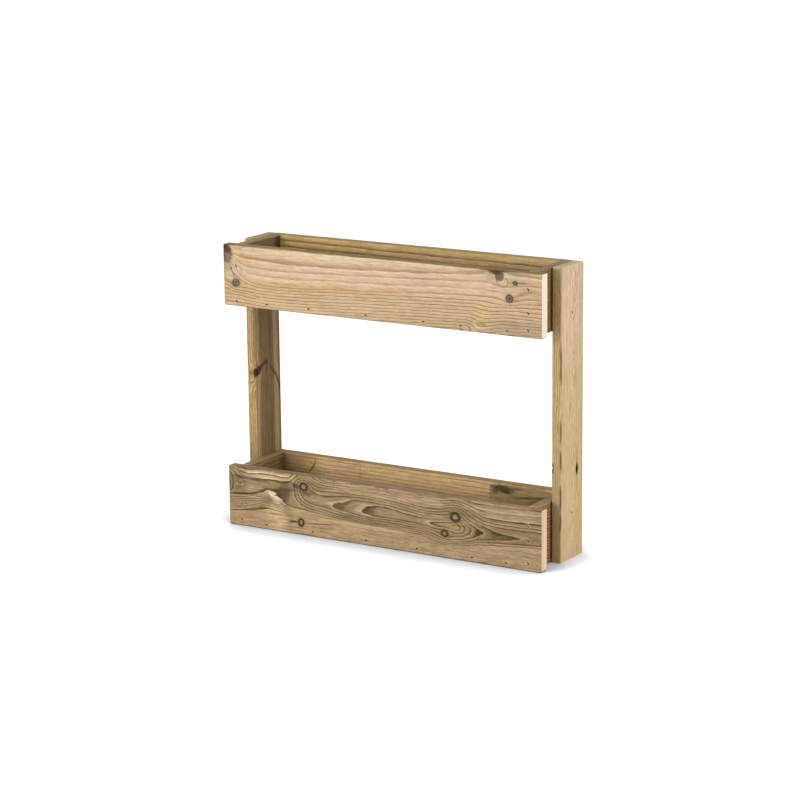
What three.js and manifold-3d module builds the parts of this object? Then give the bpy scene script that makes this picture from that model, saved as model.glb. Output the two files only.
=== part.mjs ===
// Two-tier wall planter in planed softwood: two open troughs, one above the other,
// held between two upright posts, with every joint stapled.
// Millimetres. +X runs along the troughs, +Y goes back to the wall, +Z is up.
// The origin is on the floor, under the middle of the planter.

import * as THREE from 'three';
import { mergeVertices } from 'three/addons/utils/BufferGeometryUtils.js';
import Module from 'manifold-3d';

// Driving dimensions of the timber.
const PLANTER_WIDTH = 800;
const POST_HEIGHT = 640;
const POST_WIDTH = 100;
const POST_THICKNESS = 22;
const BOARD_HEIGHT = 137;
const BOARD_THICKNESS = 22;
const TROUGH_DEPTH_INSIDE = 139;
const EDGE_RADIUS = 2;
const EDGE_STEPS = 4;
const EDGE_RADIUS_LIMIT = 0.45;
const JOINT_GAP = 0.3;
const FLOOR_BOARD_GAP = 0.6;

// Drain holes bored through each trough's bottom board.
const DRAIN_HOLE_RADIUS = 5;
const DRAIN_HOLE_COUNT = 5;
const DRAIN_HOLE_END_MARGIN = 75;
const DRAIN_HOLE_SIDES = 16;

// Narrow-crown staples.
const STAPLE_CROWN = 6;
const STAPLE_WIRE = 1.2;
const STAPLE_BITE = 16;
const STAPLE_POINT = 2;
const STAPLE_SINK = 0.9;
const STAPLE_CLEARANCE = 0.3;

// How far a crown leans from upright, its foot going to the right as seen from outside. Each crown
// lies roughly along the edge that it is driven into: steep in a column, nearly level in a row.
const COLUMN_LEAN = THREE.MathUtils.degToRad(30);
const ROW_LEAN = THREE.MathUtils.degToRad(97);

// Where the staples are driven, measured in from a board's ends and edges.
const ROW_END_MARGIN = 50;
const COLUMN_BOTTOM_MARGIN = 15;
const COLUMN_TOP_MARGIN = 37;
const POST_STAPLE_MARGIN = 35;
const BACK_ROW_COUNT = 4;
const BACK_COLUMN_COUNT = 2;
const POST_STAPLE_COUNT = 2;

// The front staples were driven by eye. Each list holds how far each one strays from an even pitch.
const TROUGHS = [
  {
    name: 'upper',
    rowStray: [19, 6, 30, 52, 21, 11],
    leftStray: [-4, -3, -10],
    rightStray: [1, -5, 2],
    tones: { front: 0xcdb08a, back: 0xb09158, left: 0x6f5f42, right: 0x8d6f43, bottom: 0xa78a5f },
  },
  {
    name: 'lower',
    rowStray: [6, 7, 24, 31, 46, 7],
    leftStray: [0, -7, 0],
    rightStray: [2, 9, -1],
    tones: { front: 0xa8906d, back: 0x8f7346, left: 0x7c6c50, right: 0x8a6b3f, bottom: 0x97794f },
  },
];
const POST_TONES = { left: 0x7d6649, right: 0xcdb592 };
const STAPLE_TONE = 0x4b3a24;
const WOOD_ROUGHNESS = 0.8;
const STAPLE_ROUGHNESS = 0.5;
const STAPLE_METALNESS = 0.7;

// Places that follow from the driving dimensions.
const PLANTER_DEPTH = TROUGH_DEPTH_INSIDE + 2 * BOARD_THICKNESS;
const FRONT_FACE = -PLANTER_DEPTH / 2;
const BACK_FACE = PLANTER_DEPTH / 2;
const SIDE_FACE = PLANTER_WIDTH / 2;
const POST_INNER_FACE = SIDE_FACE - POST_THICKNESS;
const PANEL_OUTER_FACE = POST_INNER_FACE - JOINT_GAP;
const PANEL_INNER_FACE = PANEL_OUTER_FACE - BOARD_THICKNESS;
const PANEL_CENTRE = (PANEL_OUTER_FACE + PANEL_INNER_FACE) / 2;
const POST_CENTRE_Y = BACK_FACE - POST_WIDTH / 2;
const CUT_OVERSHOOT = 2;
const WELD_DISTANCE = 1e-4;

const UP = new THREE.Vector3(0, 0, 1);
const FRONT = new THREE.Vector3(0, -1, 0);
const BACK = new THREE.Vector3(0, 1, 0);
const LEFT = new THREE.Vector3(-1, 0, 0);
const RIGHT = new THREE.Vector3(1, 0, 0);

const manifold = await Module();
manifold.setup();

function toSolid(geometry) {
  const bare = geometry.clone();
  bare.deleteAttribute('normal');
  bare.deleteAttribute('uv');
  const merged = mergeVertices(bare, WELD_DISTANCE);
  return new manifold.Manifold(new manifold.Mesh({
    numProp: 3,
    vertProperties: new Float32Array(merged.attributes.position.array),
    triVerts: new Uint32Array(merged.index.array),
  }));
}

function toGeometry(solid) {
  const mesh = solid.getMesh();
  const geometry = new THREE.BufferGeometry();
  geometry.setAttribute('position', new THREE.BufferAttribute(mesh.vertProperties, 3));
  geometry.setIndex(new THREE.BufferAttribute(mesh.triVerts, 1));
  geometry.computeVertexNormals();
  return geometry;
}

function wood(tone) {
  return new THREE.MeshStandardMaterial({ color: tone, roughness: WOOD_ROUGHNESS, metalness: 0 });
}

// Stock section with its four long edges rounded, thickness along x and width along y.
function stockSection(thickness, width) {
  const radius = Math.min(EDGE_RADIUS, EDGE_RADIUS_LIMIT * Math.min(thickness, width));
  const right = thickness / 2 - radius;
  const top = width / 2 - radius;
  const section = new THREE.Shape();
  section.absarc(right, -top, radius, -Math.PI / 2, 0);
  section.absarc(right, top, radius, 0, Math.PI / 2);
  section.absarc(-right, top, radius, Math.PI / 2, Math.PI);
  section.absarc(-right, -top, radius, Math.PI, 1.5 * Math.PI);
  section.closePath();
  return section;
}

// A length of stock, centred on the origin, running along z.
function stock(length, thickness, width) {
  const geometry = new THREE.ExtrudeGeometry(stockSection(thickness, width), {
    depth: length,
    bevelEnabled: false,
    curveSegments: EDGE_STEPS,
  });
  return geometry.translate(0, 0, -length / 2);
}

// A board is placed by its centre and by the directions of its thickness and its width.
function board(name, tone, size, centre, thicknessAxis, widthAxis) {
  const mesh = new THREE.Mesh(stock(size.length, size.thickness, size.width), wood(tone));
  const lengthAxis = new THREE.Vector3().crossVectors(thicknessAxis, widthAxis);
  const turn = new THREE.Matrix4().makeBasis(thicknessAxis, widthAxis, lengthAxis);
  mesh.name = name;
  mesh.setRotationFromMatrix(turn);
  mesh.position.copy(centre);
  return mesh;
}

// Outline of a staple seen flat: crown along x, legs down -y, with the crown's top at y = 0.
function stapleOutline(leg, grow, rise) {
  const outer = STAPLE_CROWN / 2 + grow;
  const inner = STAPLE_CROWN / 2 - STAPLE_WIRE - grow;
  const underCrown = -STAPLE_WIRE - grow;
  const tip = -leg - grow;
  const outline = new THREE.Shape();
  outline.moveTo(-outer, rise);
  outline.lineTo(-outer, tip + STAPLE_POINT);
  outline.lineTo(-inner, tip);
  outline.lineTo(-inner, underCrown);
  outline.lineTo(inner, underCrown);
  outline.lineTo(inner, tip);
  outline.lineTo(outer, tip + STAPLE_POINT);
  outline.lineTo(outer, rise);
  outline.closePath();
  return outline;
}

function stapleBlank(leg, grow, rise) {
  const depth = STAPLE_WIRE + 2 * grow;
  const outline = stapleOutline(leg, grow, rise);
  const geometry = new THREE.ExtrudeGeometry(outline, { depth, bevelEnabled: false });
  return geometry.translate(0, 0, -depth / 2);
}

// A staple driven at a point of a face, against that face's outward normal, through a board of
// the given thickness. Its crown leans from upright, down to the right as seen from outside.
function stapleSite(name, point, outward, throughThickness, lean) {
  const side = new THREE.Vector3().crossVectors(UP, outward);
  const crownAxis = side.clone().multiplyScalar(Math.sin(lean));
  crownAxis.addScaledVector(UP, -Math.cos(lean));
  const depthAxis = new THREE.Vector3().crossVectors(crownAxis, outward);
  const turn = new THREE.Matrix4().makeBasis(crownAxis, outward, depthAxis);
  const position = point.clone().addScaledVector(outward, -STAPLE_SINK);
  return { name, turn, position, leg: throughThickness + STAPLE_BITE };
}

function staple(site) {
  const steel = new THREE.MeshStandardMaterial({
    color: STAPLE_TONE,
    roughness: STAPLE_ROUGHNESS,
    metalness: STAPLE_METALNESS,
  });
  const mesh = new THREE.Mesh(stapleBlank(site.leg, 0, 0), steel);
  mesh.name = site.name;
  mesh.setRotationFromMatrix(site.turn);
  mesh.position.copy(site.position);
  return mesh;
}

// The slot that a staple leaves in the timber: the staple grown by its clearance, open at the face.
function stapleSlot(site) {
  const slot = stapleBlank(site.leg, STAPLE_CLEARANCE, STAPLE_SINK + CUT_OVERSHOOT);
  slot.applyMatrix4(site.turn);
  return slot.translate(site.position.x, site.position.y, site.position.z);
}

// Cuts tools, given in the parent's frame, out of a placed mesh.
function cut(mesh, tools) {
  mesh.updateMatrix();
  const toMesh = mesh.matrix.clone().invert();
  let solid = toSolid(mesh.geometry);
  for (const tool of tools) {
    solid = solid.subtract(toSolid(tool.clone().applyMatrix4(toMesh)));
  }
  mesh.geometry = toGeometry(solid);
}

const evenly = (count) => new Array(count).fill(0);

// Evenly pitched places between two ends, each moved by its own stray.
function pitched(start, end, strays) {
  const pitch = (end - start) / (strays.length - 1);
  return strays.map((stray, index) => start + index * pitch + stray);
}

function rowPlaces(strays) {
  const reach = PANEL_INNER_FACE - ROW_END_MARGIN;
  return pitched(-reach, reach, strays);
}

function columnHeights(strays) {
  return pitched(COLUMN_BOTTOM_MARGIN, BOARD_HEIGHT - COLUMN_TOP_MARGIN, strays);
}

// Staples along a long board: a column into each end panel, and a row into the bottom board.
function faceSites(prefix, face, outward, strays) {
  const rowHeight = BOARD_THICKNESS / 2;
  const sites = { left: [], right: [], bottom: [] };
  const add = (group, x, z, lean) => {
    const name = `${prefix}_staple_${group}_${sites[group].length + 1}`;
    const point = new THREE.Vector3(x, face, z);
    sites[group].push(stapleSite(name, point, outward, BOARD_THICKNESS, lean));
  };
  columnHeights(strays.left).forEach((z) => add('left', -PANEL_CENTRE, z, COLUMN_LEAN));
  columnHeights(strays.right).forEach((z) => add('right', PANEL_CENTRE, z, COLUMN_LEAN));
  rowPlaces(strays.row).forEach((x) => add('bottom', x, rowHeight, ROW_LEAN));
  return sites;
}

// Staples driven through a post into the end panel behind it.
function postSites(prefix, sideName, outward) {
  const heights = pitched(POST_STAPLE_MARGIN, BOARD_HEIGHT - POST_STAPLE_MARGIN,
    evenly(POST_STAPLE_COUNT));
  return heights.map((z, index) => {
    const point = new THREE.Vector3(outward.x * SIDE_FACE, POST_CENTRE_Y, z);
    const name = `${prefix}_post_staple_${sideName}_${index + 1}`;
    return stapleSite(name, point, outward, POST_THICKNESS, COLUMN_LEAN);
  });
}

function drainHoles() {
  const reach = PANEL_INNER_FACE - DRAIN_HOLE_END_MARGIN;
  const places = pitched(-reach, reach, evenly(DRAIN_HOLE_COUNT));
  return places.map((x) => {
    const depth = BOARD_THICKNESS + 2 * CUT_OVERSHOOT;
    const drill = new THREE.CylinderGeometry(DRAIN_HOLE_RADIUS, DRAIN_HOLE_RADIUS, depth,
      DRAIN_HOLE_SIDES);
    return drill.rotateX(Math.PI / 2).translate(x, 0, BOARD_THICKNESS / 2);
  });
}

// One trough, with its bottom at z = 0: front and back boards, two end panels between them,
// a bottom board inside, and the staples that hold them and the posts.
function trough(spec) {
  const group = new THREE.Group();
  const midHeight = BOARD_HEIGHT / 2;
  const halfBoard = BOARD_THICKNESS / 2;
  const stockSize = (length, width) => ({ length, width, thickness: BOARD_THICKNESS });

  const front = board(`${spec.name}_front_board`, spec.tones.front,
    stockSize(PLANTER_WIDTH, BOARD_HEIGHT),
    new THREE.Vector3(0, FRONT_FACE + halfBoard, midHeight), BACK, UP);
  const back = board(`${spec.name}_back_board`, spec.tones.back,
    stockSize(2 * PANEL_OUTER_FACE, BOARD_HEIGHT),
    new THREE.Vector3(0, BACK_FACE - halfBoard, midHeight), BACK, UP);
  const endPanel = (sideName, outward) => board(`${spec.name}_${sideName}_end_panel`,
    spec.tones[sideName], stockSize(TROUGH_DEPTH_INSIDE - 2 * JOINT_GAP, BOARD_HEIGHT),
    new THREE.Vector3(outward.x * PANEL_CENTRE, 0, midHeight), RIGHT, UP);
  const leftPanel = endPanel('left', LEFT);
  const rightPanel = endPanel('right', RIGHT);
  const bottom = board(`${spec.name}_bottom_board`, spec.tones.bottom,
    stockSize(2 * (PANEL_INNER_FACE - JOINT_GAP), TROUGH_DEPTH_INSIDE - 2 * FLOOR_BOARD_GAP),
    new THREE.Vector3(0, 0, halfBoard), UP, BACK);

  const frontSites = faceSites(`${spec.name}_front`, FRONT_FACE, FRONT,
    { left: spec.leftStray, right: spec.rightStray, row: spec.rowStray });
  const backColumn = evenly(BACK_COLUMN_COUNT);
  const backSites = faceSites(`${spec.name}_back`, BACK_FACE, BACK,
    { left: backColumn, right: backColumn, row: evenly(BACK_ROW_COUNT) });
  const leftPostSites = postSites(spec.name, 'left', LEFT);
  const rightPostSites = postSites(spec.name, 'right', RIGHT);

  const slots = (...lists) => lists.flat().map(stapleSlot);
  const all = (sites) => [sites.left, sites.right, sites.bottom].flat();
  cut(front, slots(all(frontSites)));
  cut(back, slots(all(backSites)));
  cut(leftPanel, slots(frontSites.left, backSites.left, leftPostSites));
  cut(rightPanel, slots(frontSites.right, backSites.right, rightPostSites));
  cut(bottom, [...slots(frontSites.bottom, backSites.bottom), ...drainHoles()]);

  group.add(front, back, leftPanel, rightPanel, bottom);
  for (const site of [...all(frontSites), ...all(backSites), ...leftPostSites, ...rightPostSites]) {
    group.add(staple(site));
  }
  return { group, postSlots: { left: slots(leftPostSites), right: slots(rightPostSites) } };
}

function post(sideName, outward, slots) {
  const size = { length: POST_HEIGHT, width: POST_WIDTH, thickness: POST_THICKNESS };
  const centre = new THREE.Vector3(outward.x * (SIDE_FACE - POST_THICKNESS / 2), POST_CENTRE_Y,
    POST_HEIGHT / 2);
  const mesh = board(`post_${sideName}`, POST_TONES[sideName], size, centre, RIGHT, BACK);
  cut(mesh, slots);
  return mesh;
}

const planter = new THREE.Group();
const troughHeights = { upper: POST_HEIGHT - BOARD_HEIGHT, lower: 0 };
const postSlots = { left: [], right: [] };
for (const spec of TROUGHS) {
  const built = trough(spec);
  const height = troughHeights[spec.name];
  built.group.position.z = height;
  planter.add(built.group);
  for (const sideName of ['left', 'right']) {
    const raised = built.postSlots[sideName].map((slot) => slot.translate(0, 0, height));
    postSlots[sideName].push(...raised);
  }
}
planter.add(post('left', LEFT, postSlots.left));
planter.add(post('right', RIGHT, postSlots.right));

export default planter;
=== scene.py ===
import math

import bmesh
import bpy
import numpy as np
from mathutils import Matrix, Vector, noise


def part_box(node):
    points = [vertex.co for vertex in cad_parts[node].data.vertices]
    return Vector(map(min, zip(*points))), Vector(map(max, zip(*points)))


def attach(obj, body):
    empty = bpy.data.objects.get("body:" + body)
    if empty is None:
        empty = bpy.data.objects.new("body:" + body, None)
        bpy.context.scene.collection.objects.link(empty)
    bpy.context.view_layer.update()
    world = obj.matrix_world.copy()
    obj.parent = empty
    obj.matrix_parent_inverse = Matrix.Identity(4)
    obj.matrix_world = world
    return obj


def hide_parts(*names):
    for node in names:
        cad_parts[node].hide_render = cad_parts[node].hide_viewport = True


# The wall planter's looks. Lengths are in millimetres up to the point where a mesh is made,
# and Blender's objects are in metres, in the frame of the solids: X along the troughs,
# Y back to the wall, Z up.

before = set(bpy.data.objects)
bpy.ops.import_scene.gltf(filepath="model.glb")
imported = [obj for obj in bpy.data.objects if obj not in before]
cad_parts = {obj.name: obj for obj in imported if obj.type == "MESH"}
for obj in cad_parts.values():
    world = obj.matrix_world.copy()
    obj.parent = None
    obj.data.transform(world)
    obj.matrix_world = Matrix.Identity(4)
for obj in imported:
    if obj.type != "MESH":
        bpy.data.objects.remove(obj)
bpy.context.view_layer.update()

MM = 0.001
BODY = "root"

# ---------------------------------------------------------------- timber and its cuts

EDGE_RADIUS = 2.0
ARC_STEPS = 5
GRID_STEP = 6.0
FINE_ALONG, FINE_ACROSS = 4, 2.5
END_EASE = ((0, 0.75), (0.22, 0.32), (0.75, 0), (1.5, 0), (2.6, 0), (4.3, 0))
END_REACH = 6.5
EDGE_WAVER = 0.3
SMOOTH_ANGLE = math.radians(40)

SLOT_LENGTH = 6.6
SLOT_WIDTH = 1.8
SLOT_FLARE = 1.35
SLOT_DEPTH = 1.5
SLOT_SIDES = 20
# Each level of a slot: its height over the board's face and how much wider it is than the slot.
SLOT_LEVELS = ((0.6, SLOT_FLARE), (0, SLOT_FLARE), (-0.5, 1.06), (-SLOT_DEPTH, 1))
COLUMN_LEAN = math.radians(30)
ROW_LEAN = math.radians(97)

# How far the planter's outer faces lie from its middle.
SIDE_FACE = 400.0
FRONT_FACE = 91.5

DRAIN_RADIUS = 5.0
DRAIN_COUNT = 5
DRAIN_END_MARGIN = 75.0
DRAIN_SIDES = 32
# Each level of a drain hole: its height over the board's underside and how far it flares.
DRAIN_LEVELS = ((-2, 1.5), (0, 0.9), (0.9, 0), (21.1, 0), (22, 0.9), (24, 1.5))
PANEL_GAP = 0.3

POCKET_SIDES = 28
# Each level of a pocket: its height in pocket depths, and its reach as a share of the mouth's.
# Its cutter also rises a little over the face.
POCKET_LEVELS = ((0, 1), (-0.6, 0.72), (-1, 0.3))
POCKET_RISE = (0.6, 1.06)

# Every board: which axis runs along it, across it and through it, and which way its seen face
# looks.
X, Y, Z = 0, 1, 2
BOARDS = {
    "upper_front_board": (X, Z, Y, -1),
    "lower_front_board": (X, Z, Y, -1),
    "upper_back_board": (X, Z, Y, -1),
    "lower_back_board": (X, Z, Y, -1),
    "upper_left_end_panel": (Y, Z, X, 1),
    "lower_left_end_panel": (Y, Z, X, 1),
    "upper_right_end_panel": (Y, Z, X, 1),
    "lower_right_end_panel": (Y, Z, X, 1),
    "upper_bottom_board": (X, Y, Z, 1),
    "lower_bottom_board": (X, Y, Z, 1),
    "post_left": (Z, Y, X, 1),
    "post_right": (Z, Y, X, 1),
}


def node_box(name):
    low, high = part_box(name)
    return Vector(low) / MM, Vector(high) / MM


def stock_section(thickness, width, grid_step):
    """The rounded section as (through, across) points from the middle, walked once round."""
    half_t, half_w = thickness / 2, width / 2
    corners = ((1, -1, -90), (1, 1, 0), (-1, 1, 90), (-1, -1, 180))
    points = []
    for index, (side_t, side_w, start) in enumerate(corners):
        centre_t = side_t * (half_t - EDGE_RADIUS)
        centre_w = side_w * (half_w - EDGE_RADIUS)
        for step in range(ARC_STEPS + 1):
            angle = math.radians(start + 90 * step / ARC_STEPS)
            points.append((centre_t + EDGE_RADIUS * math.cos(angle),
                           centre_w + EDGE_RADIUS * math.sin(angle), True))
        last = points[-1]
        next_t, next_w, next_start = corners[(index + 1) % 4]
        turn = math.radians(next_start)
        goal_t = next_t * (half_t - EDGE_RADIUS) + EDGE_RADIUS * math.cos(turn)
        goal_w = next_w * (half_w - EDGE_RADIUS) + EDGE_RADIUS * math.sin(turn)
        run = math.hypot(goal_t - last[0], goal_w - last[1])
        pieces = max(1, round(run / grid_step))
        for step in range(1, pieces):
            share = step / pieces
            points.append((last[0] + (goal_t - last[0]) * share,
                           last[1] + (goal_w - last[1]) * share, False))
    return points


def corner_radius(name, far_end, far_side):
    """How round the board is worn at one of its four corners, seen on its broad face."""
    if name.endswith("front_board"):
        if far_end:
            return 2.5 if far_side else 6.4
        return 3.0 if far_side else 4.0
    if name.startswith("post"):
        return 4.6 if far_end else 1.5
    return 0.9


def worn_back(radius, from_end):
    """How far a round corner has drawn the edge back at a distance from the end."""
    left = max(0, radius - from_end)
    return radius - math.sqrt(radius * radius - left * left)


def add_prism(mesh, rings):
    """Closes a stack of rings of points into one solid."""
    made = [[mesh.verts.new(point * MM) for point in ring] for ring in rings]
    sides = len(made[0])
    for first, second in zip(made, made[1:]):
        for index in range(sides):
            following = (index + 1) % sides
            mesh.faces.new((first[index], first[following], second[following], second[index]))
    mesh.faces.new(list(reversed(made[0])))
    mesh.faces.new(made[-1])


def rim_side(place, reach):
    """1 or -1 for a place within the edge radius of that side of the section, otherwise 0."""
    return math.copysign(1, place) if abs(place) > reach - EDGE_RADIUS - 0.01 else 0


def board_mesh(name):
    """A length of stock with its long edges rounded and wavering a little, and its ends eased."""
    along, across, through, _ = BOARDS[name]
    low, high = node_box(name)
    middle = (low + high) / 2
    size = high - low
    steps = (FINE_ALONG, FINE_ACROSS) if name in DRAWN_GRAIN else (GRID_STEP, GRID_STEP)
    step_along, step_across = steps
    section = stock_section(size[through], size[across], step_across)
    half = size[along] / 2
    reach_t = size[through] / 2
    reach_w = size[across] / 2
    stations = [(-half + offset, inset) for offset, inset in END_EASE]
    straight = size[along] - 2 * END_REACH
    count = max(2, round(straight / step_along))
    stations += [(-half + END_REACH + straight * index / count, 0) for index in range(count + 1)]
    stations += [(half - offset, inset) for offset, inset in reversed(END_EASE)]
    seed = Vector((len(name) * 7.3, sum(map(ord, name)) % 97, 3.1))
    rings = []
    for place, inset in stations:
        ring = []
        worn = [worn_back(corner_radius(name, place > 0, far_side), half - abs(place))
                for far_side in (False, True)]
        for point_t, point_w, rounded in section:
            waver = inset
            if rounded:
                probe = Vector((place / 34, point_w / 20, point_t / 20)) + seed
                fine = Vector((place / 9, point_w / 9, point_t / 9)) + seed
                waver += EDGE_WAVER * max(0, noise.noise(probe) + 0.45 * noise.noise(fine))
            corner = Vector((point_t, point_w))
            outward = Vector((rim_side(point_t, reach_t), rim_side(point_w, reach_w)))
            if outward.length > 0:
                corner -= outward.normalized() * waver
            corner.y *= 1 - worn[point_w > 0] / reach_w
            position = middle.copy()
            position[along] += place
            position[across] += corner.y
            position[through] += corner.x
            ring.append(position)
        rings.append(ring)
    mesh = bmesh.new()
    add_prism(mesh, rings)
    bmesh.ops.recalc_face_normals(mesh, faces=mesh.faces)
    data = bpy.data.meshes.new(name + "_timber")
    mesh.to_mesh(data)
    mesh.free()
    return data


def staple_crown(node):
    """A staple's crown on the timber's face: its middle, its outward normal and its direction."""
    low, high = node_box(node)
    size = high - low
    through = max(range(3), key=lambda axis: size[axis])
    centre = (low + high) / 2
    outward = Vector((0, 0, 0))
    outward[through] = math.copysign(1, centre[through])
    face = centre.copy()
    face[through] = math.copysign(SIDE_FACE if through == X else FRONT_FACE, centre[through])
    lean = ROW_LEAN if "_bottom_" in node else COLUMN_LEAN
    side = Vector((0, 0, 1)).cross(outward)
    crown = side * math.sin(lean) - Vector((0, 0, 1)) * math.cos(lean)
    return face, outward, crown


def slot_cutter(mesh, node):
    face, outward, crown = staple_crown(node)
    cross = outward.cross(crown)
    seed = Vector((face.x, face.z, 5))
    rings = []
    for level, grow in SLOT_LEVELS:
        ring = []
        for step in range(SLOT_SIDES):
            angle = 2 * math.pi * step / SLOT_SIDES
            probe = Vector((math.cos(angle), math.sin(angle), 0)) * 1.7
            torn = 1 + 0.16 * noise.noise(seed + probe)
            long = math.copysign(abs(math.cos(angle)) ** 0.55, math.cos(angle)) * SLOT_LENGTH / 2
            wide = math.copysign(abs(math.sin(angle)) ** 0.7, math.sin(angle)) * SLOT_WIDTH / 2
            ring.append(face + outward * level + crown * long * (1 + (grow - 1) * 0.35) * torn
                        + cross * wide * grow * torn)
        rings.append(ring)
    add_prism(mesh, rings)


def drain_cutters(mesh, name):
    low, high = node_box(name)
    reach = (high.x - low.x) / 2 + PANEL_GAP - DRAIN_END_MARGIN
    for index in range(DRAIN_COUNT):
        centre_x = -reach + 2 * reach * index / (DRAIN_COUNT - 1)
        rings = []
        for height, flare in DRAIN_LEVELS:
            radius = DRAIN_RADIUS + flare
            rings.append([Vector((centre_x + radius * math.cos(2 * math.pi * step / DRAIN_SIDES),
                                  radius * math.sin(2 * math.pi * step / DRAIN_SIDES),
                                  low.z + height)) for step in range(DRAIN_SIDES)])
        add_prism(mesh, rings)


def pocket_cutter(mesh, face, outward, along, reach, depth, seed):
    """A torn pocket in a face, longer along one direction, such as a split."""
    cross = outward.cross(along)
    rings = []
    levels = [POCKET_RISE] + [(height * depth, share) for height, share in POCKET_LEVELS]
    for level, share in levels:
        ring = []
        for step in range(POCKET_SIDES):
            angle = 2 * math.pi * step / POCKET_SIDES
            probe = Vector((math.cos(angle) * 2, math.sin(angle) * 2, seed + level * 0.2))
            torn = 1 + 0.22 * noise.noise(probe)
            point = math.copysign(abs(math.sin(angle)) ** 1.6, math.sin(angle))
            ring.append(face + outward * level + along * math.cos(angle) * reach[0] * share * torn
                        + cross * point * reach[1] * share * torn)
        rings.append(ring)
    add_prism(mesh, rings)


# ---------------------------------------------------------------- drawn grain

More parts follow.
